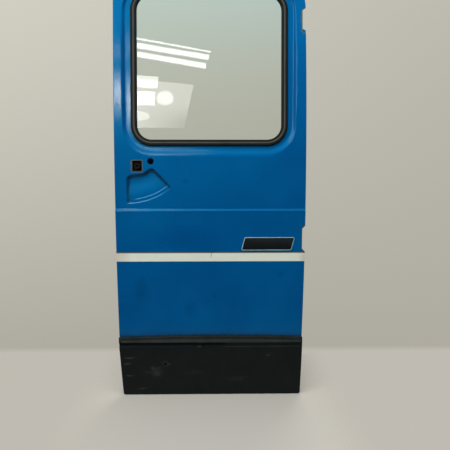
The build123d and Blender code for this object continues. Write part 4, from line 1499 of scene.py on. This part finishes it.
@dataclass
class InnerSheet:
    """Cover sheet on the inner side with one large opening, a bead round it and holes for trim clips."""

    name: str
    node: str
    low: float
    high: float
    left: float = 44 * MM
    right: float = 678 * MM
    margin: float = 62 * MM
    corner: float = 45 * MM
    depth: float = 48.2 * MM
    sheet: float = 1 * MM
    bead: float = 3 * MM
    lip: float = 6 * MM
    clip_radius: float = 4 * MM
    clip_inset: float = 20 * MM
    clip_spacing: float = 118 * MM
    clip_points: int = 14
    clip_rim: float = 2 * MM
    lap_spacing: float = 20 * MM
    # Distances from the opening, in millimetres
    bead_rise: Point = (10, 16)
    bead_fall: Point = (24, 30)
    lip_turn: Point = (-2, 5)
    bead_rows: tuple[float, ...] = (0.8, 1.8, 3, 4, 5, 7, 10, 12, 13, 14, 16, 20, 24, 26, 27, 28, 30)
    coarse: float = 12 * MM
    fine: float = 9 * MM
    bead_clear: float = 34 * MM
    least_gap: float = 0.3 * MM

    def opening(self, x: Plan, z: Plan) -> Plan:
        """Distance out of the access opening."""
        return rounded_box(x, z, *self.opening_box(), self.corner)

    def opening_box(self) -> tuple[Point, Point]:
        """Lower and upper corner of the access opening."""
        return ((self.left + self.margin, self.low + self.margin),
                (self.right - self.margin, self.high - self.margin))

    def ring(self, inset: float, spacing: float) -> Plan:
        """Closed loop drawn in from the sheet's outline."""
        left, right, low, high = self.left + inset, self.right - inset, self.low + inset, self.high - inset
        return spaced(np.array(((left, low), (right, low), (right, high), (left, high))), spacing)

    def clips(self) -> Plan:
        """Middles of the clip holes, evenly spaced round the sheet."""
        return self.ring(self.clip_inset, self.clip_spacing)

    def keep(self, x: Plan, z: Plan) -> Plan:
        """Distance into the sheet from its outline, opening and clip holes."""
        edges = [x - self.left, self.right - x, z - self.low, self.high - z, self.opening(x, z)]
        holes = [np.hypot(x - cx, z - cz) - self.clip_radius for cx, cz in self.clips()]
        return np.minimum.reduce(edges + holes)

    def front(self, x: Plan, z: Plan) -> Plan:
        """Y of the face towards the skin."""
        away = self.opening(x, z) / MM
        raised = smooth_step(*self.bead_rise, away) - smooth_step(*self.bead_fall, away)
        turned = 1 - smooth_step(*self.lip_turn, away)
        return LEAF.crown(self.depth + self.bead * raised - self.lip * turned, z)

    def back(self, x: Plan, z: Plan) -> Plan:
        """Y of the face towards the inside of the van."""
        return self.front(x, z) + self.sheet

    def build(self, finish: Material) -> None:
        """Makes the sheet and gives it its paint."""
        low, high = self.opening_box()
        groups = []
        for row in self.bead_rows:
            side = row * MM
            groups.append(rounded_loop((low[0] - side, low[1] - side), (high[0] + side, high[1] + side),
                                       self.corner + side, self.fine))
        half = self.coarse / 2
        grid = np.array([(x, z) for x in np.arange(self.left + half, self.right, self.coarse)
                         for z in np.arange(self.low + half, self.high, self.coarse)])
        groups.append(grid[self.opening(*grid.T) > self.bead_clear])
        groups += [circle(c, self.clip_radius + self.clip_rim, self.clip_points) for c in self.clips()]
        points = np.vstack(groups)
        points = points[self.keep(*points.T) > self.least_gap]
        loops = [self.ring(0, self.coarse), rounded_loop(low, high, self.corner, self.fine)]
        loops += [circle(c, self.clip_radius, self.clip_points) for c in self.clips()]
        piece, _, _ = pressed_sheet(self.name, points, loops, self.keep, self.front, self.back)
        settle(piece, Slot.PAINT, finish, self.node)

    def lap_path(self, inset: float) -> Plan:
        """Path round the lap of the sheet, on its inner face."""
        x, z = self.ring(inset, self.lap_spacing).T
        return LEAF.to_model(x, LEAF.crown(self.depth + self.sheet, z), z)


@dataclass
class InnerFrame:
    """Stiles, rails, brace and cover sheets behind the skin, with their spot welds."""

    fold_radius: float = 3.5 * MM
    fold_angle: float = 60
    fold_steps: int = 4
    flat_angle: float = 0.3
    sharp_angle: float = 32
    wall_width: float = 6 * MM
    weld_spacing: float = 58 * MM
    weld_sides: int = 14
    flange_depth: float = 2.7 * MM
    flange_inset: float = 19 * MM
    flange_spacing: float = 12 * MM
    lap_inset: float = 7 * MM
    members: tuple[str, ...] = ("upper_hinge_stile", "lower_hinge_stile", "upper_latch_stile",
                                "lower_latch_stile", "top_rail", "waist_rail", "mid_rail", "bottom_rail",
                                "skin_brace")
    weld_profile: tuple[Point, ...] = ((3.6, -0.2), (3.4, 0.15), (2.6, 0.3), (2.2, 0.12), (0.9, 0.05))
    sheets: tuple[InnerSheet, ...] = (
        InnerSheet("upper_cover_sheet", "upper_inner_sheet", 580.2 * MM, 956 * MM),
        InnerSheet("lower_cover_sheet", "lower_inner_sheet", 70 * MM, 579.8 * MM))

    def member(self, node: str) -> Piece:
        """Copies a packed member and rounds the edges at which its sheet is folded."""
        shape = bmesh.new()
        shape.from_mesh(frame["nodes"][node].data)
        bmesh.ops.remove_doubles(shape, verts=shape.verts, dist=MERGE)
        bmesh.ops.dissolve_limit(shape, angle_limit=math.radians(self.flat_angle), verts=shape.verts,
                                 edges=shape.edges)
        wide = {face: 2 * face.calc_area() / face.calc_perimeter() > self.wall_width for face in shape.faces}
        bent = math.radians(self.fold_angle)
        folds = [edge for edge in shape.edges if edge.is_manifold and edge.is_convex
                 and edge.calc_face_angle() > bent and all(wide[face] for face in edge.link_faces)]
        bmesh.ops.bevel(shape, geom=folds, offset=self.fold_radius, segments=self.fold_steps, profile=0.5,
                        affect="EDGES", clamp_overlap=True)
        bmesh.ops.triangulate(shape, faces=[f for f in shape.faces if len(f.verts) > 4])
        mesh = bpy.data.meshes.new(node + "_folded")
        shape.to_mesh(mesh)
        shape.free()
        mesh.shade_smooth()
        mesh.set_sharp_from_angle(angle=math.radians(self.sharp_angle))
        return link(node + "_folded", mesh)

    def build(self, finish: Material, spans: tuple[Point, Point]) -> None:
        """Makes the members and sheets and sets their welds.

        Args:
            finish: Paint of the inner side.
            spans: Heights of the hinge edge between which the flange is whole.
        """
        for node in self.members:
            settle(self.member(node), Slot.PAINT, finish, node)
        weld = turned_head("spot_weld", self.weld_profile, self.weld_sides)
        paths = {}
        for sheet in self.sheets:
            sheet.build(finish)
            paths[sheet.name] = sheet.lap_path(self.lap_inset)
        for side, span in zip(("hinge_flange", "outer_flange"), spans):
            x, z = LEAF.path(self.flange_inset, self.flange_spacing, *span).T
            paths[side] = LEAF.to_model(x, LEAF.panel(self.flange_depth, z), z)
        row = FastenerRow()
        for name, path in paths.items():
            welds = row.set_along(name + "_welds", path, self.weld_spacing, (0, 1, 0), weld, finish)
            settle(welds, Slot.PAINT, finish)
        bpy.data.objects.remove(weld)


@dataclass
class LatchAndHinges:
    """Latch behind the handle holes and the bare hinge seats."""

    plate_face: float = 21 * MM
    plate_z: float = 910 * MM
    screw_reach: float = 32 * MM
    screw_sides: int = 18
    nodes: tuple[str, ...] = ("latch_plate", "latch_bolt", "upper_hinge_seat", "lower_hinge_seat")
    greased_nodes: tuple[str, ...] = ("handle_backing_plate", "latch_case", "latch_follower")
    screw_profile: tuple[Point, ...] = ((4.6, -0.5), (4.6, 0.3), (4.2, 1.2), (3.2, 2.0), (2.2, 2.3),
                                        (2.0, 1.0), (0.6, 0.9))

    def build(self, steel: Material, greased: Material, paint: Material) -> None:
        """Dresses the latch and the seats and sets the plate's two screws."""
        slots = {row["node"]: row["material_slot"] for row in frame["record"]["subparts"]}
        for name in self.nodes:
            dress(steel if slots[name] == Slot.STEEL.value else paint, name)
        dress(greased, *self.greased_nodes)
        head = turned_head("screw", self.screw_profile, self.screw_sides)
        z = np.array((self.plate_z - self.screw_reach, self.plate_z + self.screw_reach))
        path = LEAF.to_model(np.full(2, self.plate_face), LEAF.crown(LEAF.seat_depth, z), z)
        screws = FastenerRow().set_along("latch_plate_screws", path, 2 * self.screw_reach, (-1, 0, 0), head,
                                         steel)
        settle(screws, Slot.STEEL, steel)
        bpy.data.objects.remove(head)


# Scene


@dataclass(frozen=True)
class PhotoCamera:
    """Camera at the photograph's viewing angle, in millimetres of the leaf."""

    place: Triple = (396.85, -1721.09, 823.11)
    yaw: float = 0.01331
    pitch: float = -0.08006
    roll: float = -0.00081
    focal_pixels: float = 450.0
    image_pixels: float = 450.0
    sensor_width: float = 36.0

    def build(self) -> None:
        """Adds the camera and makes it the scene's own."""
        data = bpy.data.cameras.new("photo_camera")
        data.sensor_width = self.sensor_width
        data.lens = self.sensor_width * self.focal_pixels / self.image_pixels
        camera = link("photo_camera", data)
        turn = Matrix.Rotation(-self.yaw, 4, "Z") @ Matrix.Rotation(math.pi / 2 + self.pitch, 4, "X")
        turn = turn @ Matrix.Rotation(self.roll, 4, "Z")
        camera.matrix_world = Matrix.Translation(LEAF.origin + Vector(self.place) * MM) @ turn
        bpy.context.scene.camera = camera


@dataclass(frozen=True)
class FloorPaper(Finish):
    """Pale matt paper that runs out into the backdrop."""

    colour: str = "#B4B0A7"
    near: float = 0.32
    far: float = 0.58

    def shade(self, tree: Tree, place: Socket) -> Node:
        """Fades the paper out with distance from the leaf."""
        middle = LEAF.origin + Vector((LEAF.width / 2, 0, 0))
        aside = add(tree, "ShaderNodeVectorMath", {0: place, 1: tuple(middle)}, operation="SUBTRACT")
        aside = add(tree, "ShaderNodeVectorMath", {0: aside}, operation="ABSOLUTE")
        axes = add(tree, "ShaderNodeSeparateXYZ", {"Vector": aside})
        away = add(tree, "ShaderNodeMath", {0: axes.outputs["X"], 1: axes.outputs["Y"]}, operation="MAXIMUM")
        fade = add(tree, "ShaderNodeMapRange", {"Value": away, "From Min": self.near, "From Max": self.far},
                   interpolation_type="SMOOTHSTEP")
        paper = add(tree, "ShaderNodeBsdfDiffuse", {"Color": linear(self.colour)})
        nothing = add(tree, "ShaderNodeBsdfTransparent")
        return add(tree, "ShaderNodeMixShader", {0: fade, 1: paper, 2: nothing})


@dataclass(frozen=True)
class WindowGlow(Finish):
    """Bright card seen only in reflections, which fades towards the hinge side as daylight does."""

    start: float = -0.55
    end: float = 0.06
    low: float = 2.0
    high: float = 2.2
    bright: float = 6.2
    dim: float = 5.0
    dim_low: float = 0.75

    def shade(self, tree: Tree, place: Socket) -> Node:
        """Fades the glow across the card, more so in its lower part."""
        axes = add(tree, "ShaderNodeSeparateXYZ", {"Vector": place}).outputs
        x, _, z = LEAF.origin
        dim = add(tree, "ShaderNodeMapRange",
                  {"Value": axes["Z"], "From Min": z + self.low, "From Max": z + self.high,
                   "To Min": self.dim_low, "To Max": self.dim})
        glow = add(tree, "ShaderNodeMapRange",
                   {"Value": axes["X"], "From Min": x + self.start, "From Max": x + self.end,
                    "To Min": self.bright, "To Max": dim})
        return add(tree, "ShaderNodeEmission", {"Strength": glow})


class Aim(Enum):
    """Ways in which a lamp may face."""

    PLANE = "straight at the leaf's plane"
    LEAF = "at the leaf's middle"
    DOWN = "straight down"


class LampFace(Enum):
    """Outlines that a lamp's face may have."""

    RECTANGLE = "RECTANGLE"
    ELLIPSE = "ELLIPSE"


@dataclass(frozen=True)
class Lamp:
    """Soft lamp, in metres of the leaf, with the brightness of its face."""

    name: str
    place: Triple
    size: Point
    radiance: float
    roll: float = 0.0
    aim: Aim = Aim.PLANE
    face: LampFace = LampFace.RECTANGLE
    colour: str = "#FFFFFF"
    mirrored: bool = True
    diffuse: bool = True
    aim_height: float = 0.6

    def build(self) -> None:
        """Adds the lamp, which shows only in reflections."""
        data = bpy.data.lights.new(self.name, "AREA")
        data.shape = self.face.value
        data.color = linear(self.colour)[:3]
        data.size, data.size_y = self.size
        data.energy = self.radiance * math.pi * self.size[0] * self.size[1]
        lamp = link(self.name, data)
        spot = LEAF.origin + Vector(self.place)
        middle = LEAF.origin + Vector((LEAF.width / 2, 0, LEAF.height * self.aim_height))
        upright = Matrix.Rotation(math.pi / 2, 4, "X")
        turns = {Aim.PLANE: upright @ Matrix.Rotation(math.radians(self.roll), 4, "Z"),
                 Aim.LEAF: (middle - spot).to_track_quat("-Z", "Y").to_matrix().to_4x4(),
                 Aim.DOWN: Matrix.Identity(4)}
        lamp.matrix_world = Matrix.Translation(spot) @ turns[self.aim]
        lamp.visible_camera = False
        lamp.visible_transmission = False
        lamp.visible_glossy = self.mirrored
        lamp.visible_diffuse = self.diffuse


@dataclass(frozen=True)
class Studio:
    """Pale floor and backdrop with soft light from above and from the closing side."""

    backdrop_low: str = "#AEABA0"
    backdrop_left: str = "#D5D3C6"
    backdrop_right: str = "#BCBAAF"
    backdrop_floor: str = "#BFBBB2"
    horizon: float = -0.364
    horizon_blur: float = 0.006
    room: str = "#1C1C1A"
    ceiling: str = "#10CBE7"
    ceiling_strength: float = 4.0
    ambient: float = 0.35
    floor_gap: float = 8 * MM
    floor_half: float = 1.2
    glow_depth: float = -3.55
    glow_corners: tuple[Point, ...] = ((-0.75, 1.93), (-0.01, 1.93), (0.10, 2.44), (-0.75, 2.53))
    lamps: tuple[Lamp, ...] = (
        Lamp("key_softbox", (-1.9, -2.2, 3.2), (2.0, 2.0), 4.6, aim=Aim.LEAF),
        Lamp("ceiling_softbox", (0.365, -1.6, 4.6), (4.5, 2.0), 5.6, aim=Aim.DOWN, mirrored=False),
        Lamp("back_softbox", (1.4, 2.6, 2.4), (2.0, 2.0), 4.0, aim=Aim.LEAF),
        Lamp("strip_thin", (-0.273, -3.5, 2.917), (1.18, 0.022), 13.0, -10.3),
        Lamp("strip_upper", (-0.285, -3.5, 2.841), (1.15, 0.064), 14.0, -9.4),
        Lamp("strip_lower", (-0.303, -3.5, 2.741), (1.12, 0.064), 14.0, -9.8),
        Lamp("pane_upper", (-0.575, -3.5, 2.468), (0.525, 0.141), 10.0, -4.0),
        Lamp("pane_left", (-0.590, -3.5, 2.268), (0.490, 0.165), 10.0, -2.0),
        Lamp("pane_right", (-0.230, -3.5, 2.268), (0.200, 0.165), 6.0, -2.0, face=LampFace.ELLIPSE),
        Lamp("pane_lower", (-0.620, -3.5, 2.060), (0.420, 0.130), 4.0, -2.0, face=LampFace.ELLIPSE),
        Lamp("pane_side", (-0.760, -3.52, 2.150), (0.42, 0.66), 8.0, face=LampFace.ELLIPSE, colour="#D2FFE8"),
        Lamp("pane_side_core", (-0.745, -3.52, 2.220), (0.22, 0.34), 120.0, face=LampFace.ELLIPSE,
             colour="#FFF3E2", diffuse=False),
    )

    def build(self) -> None:
        """Adds the floor, the backdrop, the reflected glow and the lamps."""
        bpy.context.scene.view_settings.view_transform = "Standard"
        self.sky()
        half, z = self.floor_half, LEAF.origin.z - self.floor_gap
        middle = LEAF.origin.x + LEAF.width / 2
        corners = np.array(((middle - half, -half, z), (middle + half, -half, z), (middle + half, half, z),
                            (middle - half, half, z)))
        floor = place_mesh("floor", corners, [(0, 1, 2, 3)])
        floor.data.materials.append(FloorPaper("pale_floor_paper").build())
        self.glow()
        for lamp in self.lamps:
            lamp.build()

    def glow(self) -> None:
        """Adds the card whose soft glow lies in the glass."""
        x, z = np.array(self.glow_corners).T
        corners = LEAF.to_model(x, np.full(len(x), self.glow_depth), z)
        card = place_mesh("reflected_glow", corners, [(3, 2, 1, 0)])
        card.data.materials.append(WindowGlow("window_glow").build())
        card.visible_camera = False
        card.visible_diffuse = False
        card.visible_transmission = False
        card.visible_shadow = False

    def sky(self) -> None:
        """Sets an even light, seen as a pale backdrop with a dimmer room in front of the leaf."""
        world = bpy.data.worlds.new("studio")
        bpy.context.scene.world = world
        world.use_nodes = True
        tree = world.node_tree
        tree.nodes.clear()
        toward = add(tree, "ShaderNodeTexCoord").outputs["Generated"]
        axes = add(tree, "ShaderNodeSeparateXYZ", {"Vector": toward}).outputs
        # The backdrop carries painted light: lighter towards the closing side and darker low down.
        side = add(tree, "ShaderNodeMapRange", {"Value": axes["X"], "From Min": -0.5, "From Max": 0.5})
        high = add(tree, "ShaderNodeMix",
                   {"Factor": side, "A": linear(self.backdrop_left), "B": linear(self.backdrop_right)},
                   data_type="RGBA")
        rise = add(tree, "ShaderNodeMapRange", {"Value": axes["Z"], "From Min": -0.32, "From Max": 0.38})
        pale = add(tree, "ShaderNodeMix", {"Factor": rise, "A": linear(self.backdrop_low), "B": high},
                   data_type="RGBA")
        flat = [add(tree, "ShaderNodeMath", {0: axes[name]}, operation="ABSOLUTE") for name in "XY"]
        reach = add(tree, "ShaderNodeMath", {0: flat[0], 1: flat[1]}, operation="MAXIMUM")
        dip = add(tree, "ShaderNodeMath", {0: axes["Z"], 1: reach}, operation="DIVIDE")
        ground = add(tree, "ShaderNodeMapRange",
                     {"Value": dip, "From Min": self.horizon + self.horizon_blur,
                      "From Max": self.horizon - self.horizon_blur})
        pale = add(tree, "ShaderNodeMix", {"Factor": ground, "A": pale, "B": linear(self.backdrop_floor)},
                   data_type="RGBA")
        # The room ahead is mirrored dark below and straight above, and bright where its ceiling lamps are.
        lift = add(tree, "ShaderNodeMapRange", {"Value": axes["Z"], "From Min": 0.25, "From Max": 0.5})
        dusk = add(tree, "ShaderNodeMapRange", {"Value": axes["Z"], "From Min": 0.9, "From Max": 0.72})
        lift = add(tree, "ShaderNodeMath", {0: lift, 1: dusk}, operation="MULTIPLY")
        room = add(tree, "ShaderNodeMix", {"Factor": lift, "A": linear(self.room), "B": linear(self.ceiling)},
                   data_type="RGBA")
        ahead = add(tree, "ShaderNodeMapRange", {"Value": axes["Y"], "From Min": 0.2, "From Max": -0.5})
        path = add(tree, "ShaderNodeLightPath")
        mirrored = add(tree, "ShaderNodeMath",
                       {0: path.outputs["Is Glossy Ray"], 1: path.outputs["Is Transmission Ray"]},
                       operation="SUBTRACT", use_clamp=True)
        mirrored = add(tree, "ShaderNodeMath", {0: ahead, 1: mirrored}, operation="MULTIPLY")
        shade = add(tree, "ShaderNodeMix", {"Factor": mirrored, "A": pale, "B": room}, data_type="RGBA")
        glare = add(tree, "ShaderNodeMath", {0: lift, 1: mirrored}, operation="MULTIPLY")
        glare = add(tree, "ShaderNodeMapRange",
                    {"Value": glare, "To Min": 1.0, "To Max": self.ceiling_strength})
        seen = add(tree, "ShaderNodeBackground", {"Color": shade, "Strength": glare})
        light = add(tree, "ShaderNodeBackground", {"Color": (1, 1, 1, 1), "Strength": self.ambient})
        shown = path.outputs["Is Camera Ray"]
        for name in ("Is Glossy Ray", "Is Transmission Ray"):
            shown = add(tree, "ShaderNodeMath", {0: shown, 1: path.outputs[name]}, operation="MAXIMUM")
        mixed = add(tree, "ShaderNodeMixShader", {0: shown, 1: light, 2: seen})
        add(tree, "ShaderNodeOutputWorld", {"Surface": mixed})


def main() -> None:
    """Builds every sub-assembly in order."""
    logging.basicConfig(level=logging.INFO, format="%(name)s %(relativeCreated)d %(message)s")
    PhotoCamera().build()
    Studio().build()
    skin, cladding = OuterSkin(), LowerCladding()
    enamel = BodyEnamel("blue_body_enamel", marks=skin.marks).build()
    inner_enamel = BodyEnamel("blue_inner_enamel", "#023F70", "#03497E", dust_share=0.4, gloss=0.35).build()
    rubber = WeatheredRubber("weathered_rubber").build()
    strip = WeatheredRubber("faded_filler_rubber", "#38332E", "#584F46").build()
    plastic = GrainedPlastic("grained_black_polypropylene", scuffs=cladding.scuffs).build()
    steel = PlatedSteel("zinc_plated_steel").build()
    greased = PlatedSteel("greased_latch_steel", "#1D1B19", "#2E201A", 0.8, 0.45).build()
    bright = PlatedSteel("dulled_chrome", "#E6E2D6", "#A39A8C", 0.4, 0.5).build()
    dark = WeatheredRubber("black_nameplate_enamel", "#0C0C0D", "#191A1A").build()
    skin.build(enamel)
    WindowUnit().build(rubber, strip, ToughenedGlass("toughened_glass").build())
    dress(VinylStripe("off_white_vinyl").build(), "body_stripe")
    cladding.build(plastic)
    Nameplate().build(bright, dark)
    InnerFrame().build(inner_enamel, skin.hem_spans())
    LatchAndHinges().build(steel, greased, inner_enamel)
    LOG.info("both boxes written")


if __name__ == "__main__":
    main()
